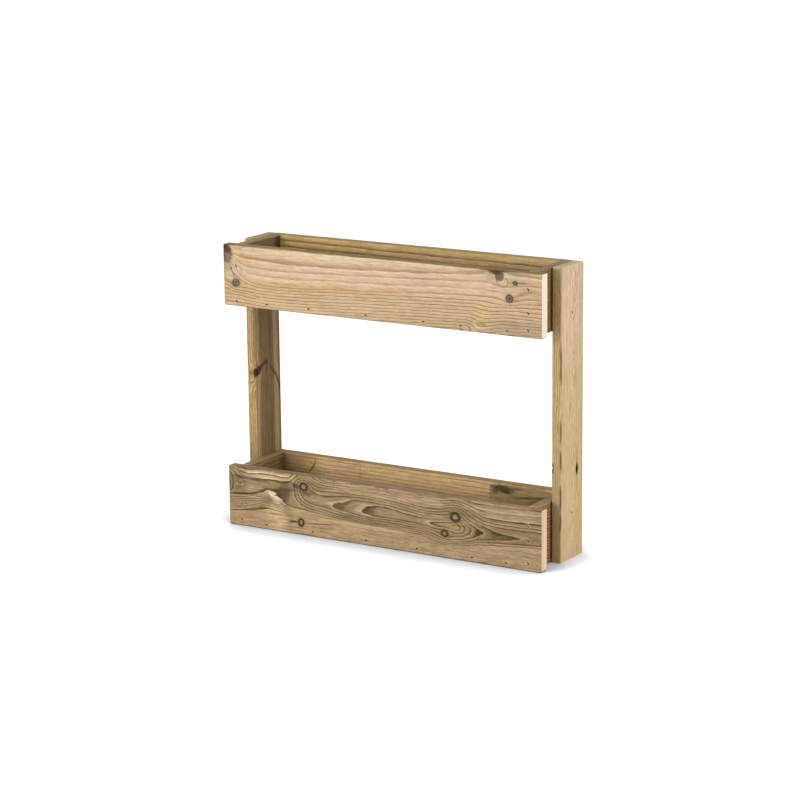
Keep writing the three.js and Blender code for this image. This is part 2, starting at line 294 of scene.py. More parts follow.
# The two front boards show the most, so their growth rings are drawn. Each line is the sharp
# dark edge of one growth ring: its number, then its places, each along and then across the board.
# Each spot gives the ring number at one place between lines. Ring numbers grow from the heart of
# the figure outward.
LOWER_LINES = [
    (1, [120, 73, 130, 77, 150, 79.5, 170, 82, 190, 83, 198, 80, 205, 73, 203, 68.5, 195, 65.5, 175,
        66.5, 162, 67.5, 150, 67, 140, 67.5, 130, 70, 120, 73]),
    (2, [-48, 76, -41, 83, -32, 89.5, -10, 93.5, 10, 94, 25, 92.5, 45, 90, 60, 87.5, 80, 85.5, 100,
        83.5, 125, 83.5, 150, 85.5, 170, 87]),
    (2, [202, 85.5, 209, 81, 214, 76, 215.5, 71, 213, 66, 208, 61.5, 200, 58.5, 188, 57.5, 174,
        61]),
    (2, [152, 62, 140, 61.5, 120, 64, 100, 66, 75, 67.5, 50, 69, 0, 68.5, -20, 69, -40, 71, -48,
        76]),
    (3, [-123, 78, -119, 83, -110, 86.5, -95, 88.5, -85, 94, -72, 98.5, -55, 100.5, -30, 101, 0,
        100, 30, 98.5, 60, 95.5, 80, 92.5, 100, 90, 125, 89, 150, 90, 170, 92.5]),
    (3, [204, 91.5, 212, 86.5, 222, 79, 228, 74.5, 230.5, 70, 228, 65, 222, 60, 212, 55.5, 200,
        51.5, 190, 50, 175, 47.5, 163, 46.5, 150, 51, 140, 55, 120, 58.5, 100, 61.5, 80, 63, 50, 64,
        0, 63.5, -30, 63.5, -60, 65, -90, 68, -105, 70.5, -119, 73, -123, 78]),
    (4, [-211, 101, -212, 110, -208, 119, -198, 122.5, -188, 118, -182, 110, -172, 103.5, -155,
        99.5, -140, 99.5, -125, 101, -100, 104, -70, 106, -40, 107, 0, 106, 30, 104, 60, 101.5, 80,
        98.5, 100, 96, 125, 95, 150, 96, 168, 99.5, 180, 106, 190, 107, 200, 103.5, 207, 97.5, 215,
        91.5, 225, 86, 237, 80, 250, 74.5, 261, 69]),
    (4, [261, 69, 252, 64, 240, 58, 225, 52, 207, 46.5, 190, 43, 175, 41.5, 163, 41.5, 150, 44.5,
        140, 47.5, 130, 51, 115, 54.5, 100, 57, 50, 58.5, 0, 58.5, -37, 58.5, -67, 60.5, -92, 63,
        -112, 66, -130, 69, -150, 71.5, -170, 73, -187, 76.5, -200, 82, -206, 89, -210, 96, -211,
        101]),
    (5, [-217, 100, -219, 110, -215, 120, -205, 126.5, -194, 127, -185, 121.5, -175, 114, -160,
        109.5, -130, 110.5, -100, 111.5, -60, 112.5, -20, 112.5, 20, 111, 60, 107.5, 80, 104, 100,
        101.5, 125, 101, 150, 103, 170, 107, 182, 112, 195, 112, 202, 108.5, 215, 101, 225, 94.5,
        240, 88.5, 250, 85.5, 275, 79.5, 300, 75, 325, 71.5, 347, 67.5]),
    (5, [347, 67.5, 325, 61, 300, 57.5, 275, 55, 250, 51.5, 225, 46, 207, 41.5, 190, 38.5, 175, 37,
        160, 37, 145, 39.5, 130, 44.5, 115, 49, 100, 52, 50, 53.5, 0, 54, -50, 55, -100, 58, -130,
        61.5, -162, 66, -187, 70, -202, 74.5, -212, 83, -216, 92, -217, 100]),
    (6, [-224, 99.5, -226, 108, -224, 118, -214, 128, -203, 132, -193, 132, -183, 127, -170, 120.5,
        -150, 117, -100, 117.5, -50, 119, 0, 118.5, 40, 116, 70, 112.5, 100, 108.5, 125, 108, 150,
        110, 170, 114, 190, 117.5, 204, 114, 215, 109.5, 225, 104, 237, 97.5, 250, 93, 275, 89, 300,
        87, 350, 87.5, 400, 89]),
    (6, [400, 58.5, 350, 55, 325, 53, 300, 51, 275, 48.5, 250, 46, 225, 41, 207, 37.5, 190, 35, 175,
        33.5, 160, 33.5, 145, 36, 130, 40.5, 115, 45, 100, 47.5, 50, 49.5, 0, 50, -25, 50.5, -62,
        52, -100, 54, -125, 56, -170, 61, -187, 64, -202, 68, -214, 75, -221, 83, -224, 91, -224,
        99.5]),
    (7, [-375, 117, -345, 114, -320, 114.5, -300, 117, -270, 118.5, -245, 118.5, -233, 122, -226,
        129, -217, 136]),
    (7, [-180, 132, -165, 126.5, -150, 122.5, -130, 121.5, -100, 122, -50, 124, 0, 124, 50, 121,
        100, 115.5, 130, 114, 160, 117.5, 190, 122, 212, 118, 225, 113, 240, 105.5, 260, 97.5, 280,
        94, 300, 93.5, 350, 94.5, 400, 96]),
    (7, [400, 52.5, 350, 49, 325, 47, 300, 45, 275, 43, 250, 40.5, 225, 36.5, 205, 33.5, 185, 31,
        160, 30.5, 140, 33.5, 125, 37, 107, 41, 85, 43.5, 50, 45, 0, 45.5, -60, 48, -120, 51.5,
        -180, 56.5, -225, 60, -240, 62.5, -255, 72.5, -270, 82, -285, 91, -294, 92, -305, 87, -325,
        80.5, -345, 76, -370, 72, -400, 69]),
    (8, [-400, 134, -375, 130, -350, 125, -330, 126.5, -300, 129, -270, 128.5, -245, 128, -236, 131,
        -229, 137]),
    (8, [-172, 136, -160, 131, -147, 127.5, -130, 126.5, -100, 128, -50, 130, 0, 130, 50, 127, 100,
        122, 140, 121.5, 170, 124.5, 190, 127.5, 212, 123.5, 230, 117, 243, 110.5, 260, 106, 280,
        104, 300, 103.5, 350, 105, 400, 107]),
    (8, [-400, 62.5, -370, 66, -345, 70.5, -320, 72.5, -300, 71.5, -285, 69.5, -270, 66.5, -255,
        61.5, -243, 58, -225, 55, -180, 52, -120, 47.5, -60, 44, 0, 42, 50, 41.5, 100, 37.5, 125,
        33, 160, 27, 205, 29.5, 250, 36, 300, 41, 350, 45, 400, 48.5]),
    (9, [-400, 56, -370, 60, -345, 65, -320, 68, -300, 67.5, -285, 65.5, -270, 62.5, -255, 58.5,
        -243, 55, -225, 51.5, -180, 48, -120, 43.5, 0, 38, 100, 33, 160, 22.5, 205, 24.5, 300, 36.5,
        400, 43.5]),
    (9, [-140, 132, -120, 131, -90, 134]),
    (9, [50, 133, 100, 128, 140, 127.5, 170, 130.5, 190, 133, 212, 129.5, 235, 124, 260, 120.5, 300,
        119.5, 350, 121, 400, 123]),
    (10, [250, 133, 300, 133, 400, 136]),
    (10, [-400, 50, -370, 54.5, -345, 59.5, -320, 64, -300, 63.5, -285, 61.5, -270, 58.5, -255, 55,
        -240, 51.5, -180, 44, -100, 38, 0, 33.5, 100, 27.5, 160, 18, 205, 19.5, 300, 31, 400, 38]),
    (11, [-400, 44.5, -370, 49, -345, 54.5, -320, 60, -300, 59.5, -285, 57.5, -270, 55, -255, 51.5,
        -235, 48, -180, 40]),
    (12, [-400, 38.5, -370, 43, -345, 49, -320, 55.5, -300, 56, -285, 54, -270, 51.5, -255, 48]),
    (13, [-400, 31.5, -370, 36, -350, 39.5, -330, 42.5, -310, 45, -285, 47.5, -255, 44, -180, 32]),
    (14, [-400, 21, -350, 27, -300, 36, -250, 36, -150, 24, 0, 15, 160, 5, 300, 14, 400, 20]),
    (6, [-400, 126, -393, 122, -388, 112, -387, 101, -388.5, 90, -393, 80, -400, 76]),
    (5, [-400, 114, -396.5, 108, -395, 100, -396.5, 92, -400, 86]),
]
LOWER_SPOTS = [(186, 75, 0.35), (150, 73, 0.6), (60, 77, 1.35), (0, 80, 1.55), (-22, 79, 1.8),
               (-62, 79, 2.2), (-80, 79, 2.5), (-97, 78, 2.8), (237, 69, 3.72), (248, 69, 3.9),
               (275, 68, 4.7), (300, 67, 4.8), (330, 67, 4.93), (370, 67, 5.3), (400, 68, 5.5),
               (-330, 95, 6.3), (-355, 90, 6.3), (-290, 103, 6.45), (-250, 90, 6.8),
               (-245, 108, 6.7), (-360, 108, 6.5), (-196, 97, 3.6)]
UPPER_LINES = [
    (1, [-400, 136, -392, 131, -380, 121, -365, 113.5, -345, 108.5, -300, 105.5, -250, 104.5, -200,
        104, -150, 104.5, -100, 105.5, -50, 107.5, 0, 109.5, 50, 112, 100, 114.5, 150, 117, 200,
        119.8, 240, 122.5, 262, 126, 270, 131]),
    (1, [318, 131, 335, 128, 360, 127.5, 400, 124.5]),
    (2, [-400, 130, -390, 123, -378, 111, -362, 100, -345, 92, -320, 88, -280, 86, -240, 86, -200,
        87.5, -150, 90, -100, 91.5, -50, 94, 0, 96, 50, 98.5, 100, 101, 150, 103.5, 200, 105.5, 250,
        108, 278, 107, 305, 100, 330, 103, 350, 107, 375, 108, 400, 107]),
    (3, [-400, 123, -388, 113, -375, 101, -360, 88, -345, 79, -325, 74, -290, 72, -240, 71.5, -200,
        72.5, -150, 75, -100, 77, -50, 78.5, 0, 80.5, 50, 83, 100, 86, 150, 88.5, 200, 90.5, 250,
        92, 300, 90, 322, 90, 345, 92, 370, 93, 400, 92]),
    (4, [-400, 114, -388, 103, -378, 92, -366, 80, -352, 68, -340, 60, -325, 55, -300, 51.5, -260,
        50.5, -230, 51, -200, 52.5, -150, 55.5, -100, 59, -50, 61, 0, 63.5, 50, 66.5, 100, 70.5,
        150, 73, 200, 75.5, 250, 77, 280, 76.5, 300, 74, 322, 70, 338, 73, 352, 77, 370, 79.5, 400,
        81]),
    (5, [-400, 103, -390, 93, -381, 82, -373, 71, -361, 63, -350, 57, -338, 51.5, -310, 46.5, -260,
        44, -200, 46.5, -150, 49.5, -100, 52.5, -50, 55, 0, 57.5, 50, 59.5, 100, 62, 150, 64, 200,
        66, 240, 67.5, 265, 66.5, 290, 64, 310, 63.5, 330, 65, 345, 67.5, 370, 69.5, 400, 71.5]),
    (6, [-400, 58, -390, 55.5, -381, 48, -375, 43, -367, 41.5, -355, 42.5, -340, 42.5, -300, 38.5,
        -250, 38, -200, 40, -150, 42.3, -100, 45, -50, 47, 0, 49.5, 50, 52, 100, 54.5, 150, 57, 200,
        58.5, 235, 60, 260, 58, 285, 56.5, 305, 58, 330, 60, 360, 61.5, 400, 62]),
    (7, [-400, 47, -385, 43.5, -367, 36.5, -345, 35, -300, 31.5, -250, 31.5, -200, 33, -150, 35.5,
        -100, 38.5, -50, 41, 0, 43, 50, 45.5, 100, 47.5, 150, 49.8, 200, 51.5, 235, 52.5, 258, 49,
        285, 48.5, 305, 50.5, 330, 52, 360, 52, 400, 52.5]),
    (8, [-400, 36.5, -380, 33.5, -350, 30, -300, 25, -250, 24.5, -200, 25.5, -150, 28, -100, 30.5,
        -50, 33.5, 0, 36, 50, 37.8, 100, 39.5, 150, 41.5, 200, 43.5, 235, 44.5, 257, 40, 280, 40.5,
        300, 43, 330, 44.5, 360, 44, 400, 43.5]),
    (9, [-400, 27, -370, 25, -340, 22, -300, 18.5, -250, 18, -200, 19, -150, 21.5, -100, 24, -50,
        26.5, 0, 28.5, 50, 31.5, 100, 33, 150, 35, 200, 36.5, 232, 37, 256, 31, 278, 32, 300, 36,
        330, 37.5, 360, 37.5, 400, 37]),
    (10, [-400, 17, -370, 17.5, -340, 14.5, -300, 11.5, -250, 11, -200, 12.5, -150, 15, -100, 17.5,
        -50, 20, 0, 22, 50, 24.5, 100, 27, 150, 28.5, 200, 30, 230, 29.5, 254, 22.5, 275, 24, 300,
        28.5, 330, 30, 360, 30, 400, 30]),
    (11, [-400, 8, -370, 9, -340, 7.5, -300, 5, -250, 4.5, -200, 6, -150, 8.5, -100, 11, -50, 13.5,
        0, 15.5, 50, 18, 100, 20, 150, 22, 200, 23.5, 228, 22.5, 252, 14, 272, 15.5, 300, 21, 330,
        23, 360, 23.5, 400, 25]),
    (12, [-400, 0, -340, 0.5, -120, 3, -50, 6.5, 0, 9, 50, 11, 100, 13, 150, 15.5, 200, 17.5, 226,
        16.5, 250, 7, 270, 8.5, 300, 14, 350, 16.5, 400, 19]),
    (13, [0, 1.5, 50, 4, 100, 6.5, 150, 9, 200, 11, 224, 10, 248, 1, 270, 2, 300, 7, 350, 9.5, 400,
        12.5]),
    (14, [200, 4.5, 300, 0, 350, 3, 400, 6]),
]
UPPER_SPOTS = [(-300, 121, 0.5), (-200, 118, 0.5), (-100, 120, 0.5), (0, 123.5, 0.5),
               (100, 128, 0.5), (200, 131.5, 0.5), (-340, 131, 0.1), (-200, 135, 0.05),
               (0, 137, 0.1), (300, 125, 1.1), (340, 118, 1.5)]

DRAWN_GRAIN = {
    "upper_front_board": (UPPER_LINES, UPPER_SPOTS),
    "lower_front_board": (LOWER_LINES, LOWER_SPOTS),
}
# The surface through the lines bends less along the board than across it.
GRAIN_SQUASH = 2.0
GRAIN_SCALE = 50.0
GRAIN_EASE = 2e-4
LONG_STRETCH = 30.0


def plate_kernel(places, knots):
    """Bending of a thin plate at each place, from a push at each knot of the surface."""
    square = ((places[:, None, :] - knots[None, :, :]) ** 2).sum(axis=2)
    return square * np.log(square + 1e-20)


def grain_surface(lines, spots):
    """The smooth surface of ring numbers that passes through the lines and the spots."""
    marks = {}
    for ring, flat in lines:
        line = list(zip(flat[::2], flat[1::2]))
        middles = [((a[0] + b[0]) / 2, (a[1] + b[1]) / 2) for a, b in zip(line, line[1:])
                   if abs(a[0] - b[0]) > LONG_STRETCH]
        for place in line + middles:
            marks[place] = ring
    for place_s, place_t, ring in spots:
        marks[(place_s, place_t)] = ring
    scale = np.array([GRAIN_SQUASH * GRAIN_SCALE, GRAIN_SCALE])
    knots = np.array(list(marks), dtype=float) / scale
    rings = np.array(list(marks.values()), dtype=float)
    count = len(knots)
    system = np.zeros((count + 3, count + 3))
    system[:count, :count] = plate_kernel(knots, knots) + GRAIN_EASE * np.eye(count)
    system[:count, count] = 1
    system[:count, count + 1:] = knots
    system[count:, :count] = system[:count, count:].T
    weights = np.linalg.solve(system, np.concatenate([rings, np.zeros(3)]))

    def surface(places):
        found = []
        for part in np.array_split(places / scale, max(1, len(places) // 4000)):
            found.append(plate_kernel(part, knots) @ weights[:count] + weights[count]
                         + part @ weights[count + 1:])
        return np.concatenate(found)

    return surface


def store_growth(mesh, name):
    """Writes the drawn ring number of each point of a board's mesh, for its material."""
    along, across, _, _ = BOARDS[name]
    low, _ = node_box(name)
    points = np.empty(len(mesh.vertices) * 3)
    mesh.vertices.foreach_get("co", points)
    points = points.reshape(-1, 3) / MM
    places = np.stack([points[:, along], points[:, across] - low[across]], axis=1)
    layer = mesh.attributes.new("growth", "FLOAT", "POINT")
    layer.data.foreach_set("value", grain_surface(*DRAWN_GRAIN[name])(places))


# Torn pockets, each as its place, outward normal, direction, reach along and across, depth and
# seed: a drying split in one post's side and a hole in its front edge.
POCKETS = {
    "post_right": [((400, 64, 192), (1, 0, 0), (0, 0, 1), (11, 2.5), 3, 1),
                   ((378.6, -7.9, 208), (-0.707, -0.707, 0), (0, 0, 1), (4.6, 3.8), 3.4, 4)],
}

# What the names of the staples driven into each board have in common.
STAPLED = {
    "upper_front_board": "upper_front_staple_",
    "lower_front_board": "lower_front_staple_",
    "upper_back_board": "upper_back_staple_",
    "lower_back_board": "lower_back_staple_",
    "post_left": "_post_staple_left_",
    "post_right": "_post_staple_right_",
}


def make_board(name):
    piece = bpy.data.objects.new(name + "_wood", board_mesh(name))
    bpy.context.scene.collection.objects.link(piece)
    cutter = bmesh.new()
    for node in staples_of(name):
        slot_cutter(cutter, node)
    if name.endswith("_bottom_board"):
        drain_cutters(cutter, name)
    for face, outward, along, reach, depth, seed in POCKETS.get(name, ()):
        pocket_cutter(cutter, Vector(face), Vector(outward), Vector(along), reach, depth, seed)
    if cutter.verts:
        bmesh.ops.recalc_face_normals(cutter, faces=cutter.faces)
        data = bpy.data.meshes.new(name + "_cuts")
        cutter.to_mesh(data)
        tool = bpy.data.objects.new(name + "_cuts", data)
        bpy.context.scene.collection.objects.link(tool)
        cut = piece.modifiers.new("cuts", "BOOLEAN")
        cut.operation = "DIFFERENCE"
        cut.solver = "EXACT"
        cut.object = tool
        bpy.context.view_layer.update()
        graph = bpy.context.evaluated_depsgraph_get()
        cut_mesh = bpy.data.meshes.new_from_object(piece.evaluated_get(graph))
        piece.modifiers.clear()
        piece.data = cut_mesh
        bpy.data.objects.remove(tool)
    cutter.free()
    piece.data.polygons.foreach_set("use_smooth", [True] * len(piece.data.polygons))
    piece.data.set_sharp_from_angle(angle=SMOOTH_ANGLE)
    if name in DRAWN_GRAIN:
        store_growth(piece.data, name)
    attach(piece, BODY)
    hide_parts(name)
    return piece


# ---------------------------------------------------------------- node arithmetic


def shade(code):
    """A colour written as in a picture, as the linear values that a shader takes."""
    parts = [int(code[index:index + 2], 16) / 255 for index in (1, 3, 5)]
    return tuple(c / 12.92 if c <= 0.04045 else ((c + 0.055) / 1.055) ** 2.4 for c in parts) + (1,)


class Signal:
    """One node's output, which can be added, multiplied and so on."""

    def __init__(self, graph, socket):
        self.graph = graph
        self.socket = socket

    def __add__(self, other):
        return self.graph.math("ADD", self, other)

    __radd__ = __add__

    def __sub__(self, other):
        return self.graph.math("SUBTRACT", self, other)

    def __rsub__(self, other):
        return self.graph.math("SUBTRACT", other, self)

    def __mul__(self, other):
        return self.graph.math("MULTIPLY", self, other)

    __rmul__ = __mul__

    def __truediv__(self, other):
        return self.graph.math("DIVIDE", self, other)

    def __rtruediv__(self, other):
        return self.graph.math("DIVIDE", other, self)

    def __neg__(self):
        return self.graph.math("MULTIPLY", self, -1)


class Graph:
    """Builds a material's nodes from arithmetic."""

    def __init__(self, name):
        self.material = bpy.data.materials.new(name)
        self.material.use_nodes = True
        tree = self.material.node_tree
        tree.nodes.clear()
        self.nodes = tree.nodes
        self.links = tree.links

    def node(self, kind, **settings):
        made = self.nodes.new(kind)
        for key, value in settings.items():
            setattr(made, key, value)
        return made

    def feed(self, socket, value):
        if isinstance(value, Signal):
            self.links.new(value.socket, socket)
        else:
            socket.default_value = value

    def math(self, operation, *values):
        made = self.node("ShaderNodeMath", operation=operation)
        for socket, value in zip(made.inputs, values):
            self.feed(socket, value)
        return Signal(self, made.outputs[0])

    def least(self, first, second):
        return self.math("MINIMUM", first, second)

    def most(self, first, second):
        return self.math("MAXIMUM", first, second)

    def root(self, value):
        return self.math("SQRT", value)

    def fraction(self, value):
        return self.math("FRACT", value)

    def magnitude(self, value):
        return self.math("ABSOLUTE", value)

    def bell(self, value):
        """exp(-value squared)"""
        return self.math("EXPONENT", -(value * value))

    def ease(self, value, start, end, low=0, high=1):
        made = self.node("ShaderNodeMapRange", interpolation_type="SMOOTHSTEP")
        for socket, item in zip(made.inputs, (value, start, end, low, high)):
            self.feed(socket, item)
        return Signal(self, made.outputs[0])

    def curve(self, value, points, spread):
        """A smooth line through (place, height) points, for places from -spread to spread."""
        heights = [height for _, height in points]
        low, high = min(heights), max(heights)
        span = max(high - low, 1e-6)
        made = self.node("ShaderNodeFloatCurve")
        line = made.mapping.curves[0]
        while len(line.points) < len(points):
            line.points.new(0.5, 0.5)
        for point, (place, height) in zip(line.points, points):
            point.location = ((place + spread) / (2 * spread), (height - low) / span)
            point.handle_type = "AUTO"
        made.mapping.update()
        self.feed(made.inputs["Value"], (value + spread) / (2 * spread))
        return Signal(self, made.outputs[0]) * span + low

    def vector(self, first, second, third=0):
        made = self.node("ShaderNodeCombineXYZ")
        for socket, value in zip(made.inputs, (first, second, third)):
            self.feed(socket, value)
        return Signal(self, made.outputs[0])

    def noise(self, vector, detail=2, roughness=0.5):
        """Noise about zero, from about -0.5 to 0.5."""
        made = self.node("ShaderNodeTexNoise", noise_dimensions="3D")
        self.feed(made.inputs["Vector"], vector)
        made.inputs["Scale"].default_value = 1.0
        made.inputs["Detail"].default_value = detail
        made.inputs["Roughness"].default_value = roughness
        return Signal(self, made.outputs[0]) - 0.5

    def mix(self, factor, first, second, blend="MIX"):
        made = self.node("ShaderNodeMix", data_type="RGBA", blend_type=blend, clamp_factor=True)
        self.feed(made.inputs[0], factor)
        self.feed(made.inputs[6], first)
        self.feed(made.inputs[7], second)
        return Signal(self, made.outputs[2])

    def node_colour(self, code):
        """A plain colour that further layers go over."""
        made = self.node("ShaderNodeRGB")
        made.outputs[0].default_value = shade(code)
        return Signal(self, made.outputs[0])

    def ramp(self, factor, stops):
        made = self.node("ShaderNodeValToRGB")
        elements = made.color_ramp.elements
        while len(elements) < len(stops):
            elements.new(0.5)
        for element, (place, colour) in zip(elements, stops):
            element.position = place
            element.color = colour
        self.feed(made.inputs[0], factor)
        return Signal(self, made.outputs[0])

    def sum_of(self, value, factor, extra):
        return self.math("MULTIPLY_ADD", value, factor, extra)

    def oval(self, along, across, centre, radii, turn=0):
        """0 in the middle of an oval and 1 on its rim."""
        angle = math.radians(turn)
        cos, sin = math.cos(angle), math.sin(angle)
        u_start = -(centre[0] * cos + centre[1] * sin) / radii[0]
        v_start = (centre[0] * sin - centre[1] * cos) / radii[1]
        u = self.sum_of(along, cos / radii[0], u_start)
        v = self.sum_of(across, cos / radii[1], v_start)
        if turn:
            u = self.sum_of(across, sin / radii[0], u)
            v = self.sum_of(along, -sin / radii[1], v)
        return self.root(self.sum_of(u, u, v * v))


# ---------------------------------------------------------------- softwood


BRIGHT_STAPLES = ("upper_post_staple_right_2", "lower_post_staple_right_1")
MARK_RADII = (SLOT_LENGTH / 2 + 0.7, SLOT_WIDTH / 2 + 0.9)


def staples_of(board):
    marker = STAPLED.get(board)
    return [node for node in sorted(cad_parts) if marker and marker in node]


def ratio(colour, base):
    """What the base colour is multiplied by to give the other colour."""
    return tuple(a / b for a, b in zip(shade(colour)[:3], shade(base)[:3])) + (1,)


class Wood(Graph):
    """Softwood on one board. s runs along the board, t across it from its lower or front edge,
    and d down into it from its seen face, all in millimetres."""

    def __init__(self, board):
        super().__init__(board + "_softwood")
        along, across, through, facing = BOARDS[board]
        low, high = node_box(board)
        self.board = board
        self.size = (high - low)[along], (high - low)[across], (high - low)[through]
        place = self.node("ShaderNodeTexCoord")
        split = self.node("ShaderNodeSeparateXYZ")
        self.links.new(place.outputs["Object"], split.inputs[0])
        metres = [Signal(self, output) for output in split.outputs]
        self.s = metres[along] * 1000.0
        self.t = metres[across] * 1000.0 - low[across]
        if facing < 0:
            self.d = metres[through] * 1000.0 - low[through]
        else:
            self.d = metres[through] * -1000.0 + high[through]
        self.rags = {}
        self.fade = None
        self.colour = None
        self.height = 0.0
        self.seed = sum(map(ord, board)) % 89 + 0.5
        lazy = self.vector(self.s * 0.009, self.t * 0.03, self.d * 0.03 + self.seed)
        self.wander = self.noise(lazy, 2)
        self.flow = self.t

    def growth(self):
        """The drawn ring number, which falls with depth as the rings curve down into the board."""
        made = self.node("ShaderNodeAttribute", attribute_name="growth")
        return Signal(self, made.outputs["Fac"]) - self.most(self.d, 0) * 0.28

    def streaks(self, along, across, detail=3, roughness=0.6, seed=0):
        """Noise drawn out along the grain. along and across are lengths of one streak."""
        place = self.vector(self.s / along, self.flow / across, self.d / across + self.seed + seed)
        return self.noise(place, detail, roughness)

    def part_round(self, knots):
        """Bends the lines of the grain round each knot."""
        for centre, radius, stretch in knots:
            u = (self.s - centre[0]) / stretch
            v = self.t - centre[1]
            reach = u * u + v * v
            self.flow = self.flow - v * (radius * radius / self.most(reach, radius * radius))

    def rag(self, grain):
        """Noise for ragged edges, longer along the grain. grain is in lumps per millimetre."""
        if grain not in self.rags:
            place = self.vector(self.s * (grain * 0.5), self.t * grain, self.seed + grain * 40)
            self.rags[grain] = self.noise(place, 3, 0.6)
        return self.rags[grain]

    def grey(self, value):
        """One value as a colour."""
        made = self.node("ShaderNodeCombineColor")
        for socket in made.inputs:
            self.feed(socket, value)
        return Signal(self, made.outputs[0])

    def tint(self, amount, colour, factor):
        """Multiplies a colour by a factor, in part."""
        return self.mix(amount, colour, factor, "MULTIPLY")

    def cover(self, amount, code):
        """Lays a plain colour over the wood's own, in part."""
        self.colour = self.mix(amount, self.colour, shade(code))

    def tone(self, amount, factor):
        self.colour = self.tint(amount, self.colour, factor)

    def rings_on(self, colour, level, late, bright, share, strength, glow):
        """Growth rings: each one darkens slowly, ends in a sharp edge and starts again bright."""
        f = self.fraction(level)
        dark = self.ease(f, 1.0 - share, 0.93) * self.ease(f, 1, 0.965)
        shine = self.ease(f, 0.32, 0.02) * self.ease(f, 0, 0.02)
        colour = self.tint(dark * strength, colour, late)
        colour = self.tint(shine * glow, colour, bright)
        return colour, dark * strength

    def ring_lines(self, *rest):
        self.colour, rings = self.rings_on(self.colour, *rest)
        return rings

    def knot(self, centre, radii, turn=0, bark="#2a1f15", flesh="#665138", heart="#9c8869",
             halo="#735a3a", halo_amount=0.65, heart_share=0.43, bark_width=0.21):
        """A dark bark ring, flesh with rings of its own, a heart, and a brown halo in the wood."""
        q = self.oval(self.s, self.t, centre, radii, turn)
        q = q + self.rag(0.3) * 0.36
        glow = self.ease(q, 2.3, 0.9)
        self.cover(glow * glow * halo_amount, halo)
        body = self.ease(q, 1.16, 0.98)
        rings = self.fraction(q * 4.0 + self.rag(0.6) * 0.8)
        inside = self.tint(rings * 0.5, self.node_colour(flesh), (1.5, 1.45, 1.35, 1))
        self.colour = self.mix(body, self.colour, inside)
        bark_line = self.bell((q - 0.94) / bark_width)
        self.cover(bark_line * 0.9, bark)
        middle = self.ease(q, heart_share + 0.14, heart_share - 0.14)
        self.cover(middle * 0.92, heart)
        self.height = self.height - bark_line * 0.6 + middle * 0.35

    def stain(self, centre, radii, code, amount, turn=0, soft=0.6, rough=0.35, grain=0.16):
        """A soft patch of another colour, with a ragged edge."""
        q = self.oval(self.s, self.t, centre, radii, turn)
        q = q + self.rag(grain) * rough
        mask = self.ease(q, 1.0 + soft / 2, 1.0 - soft / 2) * amount
        if self.fade is not None:
            mask = mask * self.fade
        self.cover(mask, code)

    def stains(self, rows):
        for row in rows:
            self.stain(*row)

    def stroke(self, start, end, width, code, amount, taper=1):
        """A streak of another colour from one place to another, thick in the middle."""
        centre = ((start[0] + end[0]) / 2, (start[1] + end[1]) / 2)
        run = math.hypot(end[0] - start[0], end[1] - start[1]) / 2
        turn = math.degrees(math.atan2(end[1] - start[1], end[0] - start[0]))
        self.stain(centre, (run, width), code, amount, turn, 0.9 * taper, 0.5)

    def strokes(self, rows):
        for row in rows:
            self.stroke(*row)

    def marks(self):
        """The bruised, rust-brown rim round each staple, with pale torn fibres beside it."""
        nearest = None
        along, across, _, _ = BOARDS[self.board]
        low, _ = node_box(self.board)
        for node in staples_of(self.board):
            face, outward, crown = staple_crown(node)
            turn = math.degrees(math.atan2(crown[across], crown[along]))
            spot = (face[along], face[across] - low[across])
            q = self.oval(self.s, self.t, spot, MARK_RADII, turn)
            q = q + (1.2 if node in BRIGHT_STAPLES else 0)
            nearest = q if nearest is None else self.least(nearest, q)
        torn = self.noise(self.vector(self.s * 0.8, self.t * 0.8, self.d), 2)
        ragged = nearest + torn * 0.5
        self.cover(self.ease(ragged, 1.9, 1.2) * 0.35, "#e0c79c")
        self.cover(self.ease(ragged, 1.3, 0.7) * 0.85, "#3f2a14")

    def worn_edge(self, tones, start, end):
        """Weathers an edge face, from the start to the end of a place across the board.
        tones are one tone, the other tone and the amount."""
        edge = self.noise(self.vector(self.s * 0.035, self.t * 0.2, self.seed + start), 3, 0.65)
        reach = self.ease(self.t + edge * 3, start, end)
        grain = self.noise(self.vector(self.s * 0.02, self.d * 0.35, self.seed + 1), 4, 0.7)
        self.colour = self.mix(reach * tones[2], self.colour, self.mix(
            self.ease(grain, -0.18, 0.18), shade(tones[0]), shade(tones[1])))

    def cut_ends(self, ends, rings, patch):
        """Colours the sawn ends, and returns where they are and their grain."""
        half = self.size[0] / 2
        centre = half if self.board.startswith("post") else 0.0
        end = self.ease(self.magnitude(self.s - centre), half - 1.2, half - 0.3)
        grain = self.noise(self.vector(self.t * 0.8, self.d * 0.8, self.seed), 4, 0.75)
        tone = self.mix(self.ease(grain, -0.3, 0.3), shade(ends[0]), shade(ends[1]))
        if patch:
            tone = self.mix(patch[0], tone, shade(patch[1]))
        tone = self.tint(rings * 0.5, tone, (0.78, 0.70, 0.60, 1))
        self.colour = self.mix(end, self.colour, tone)
        return end, grain

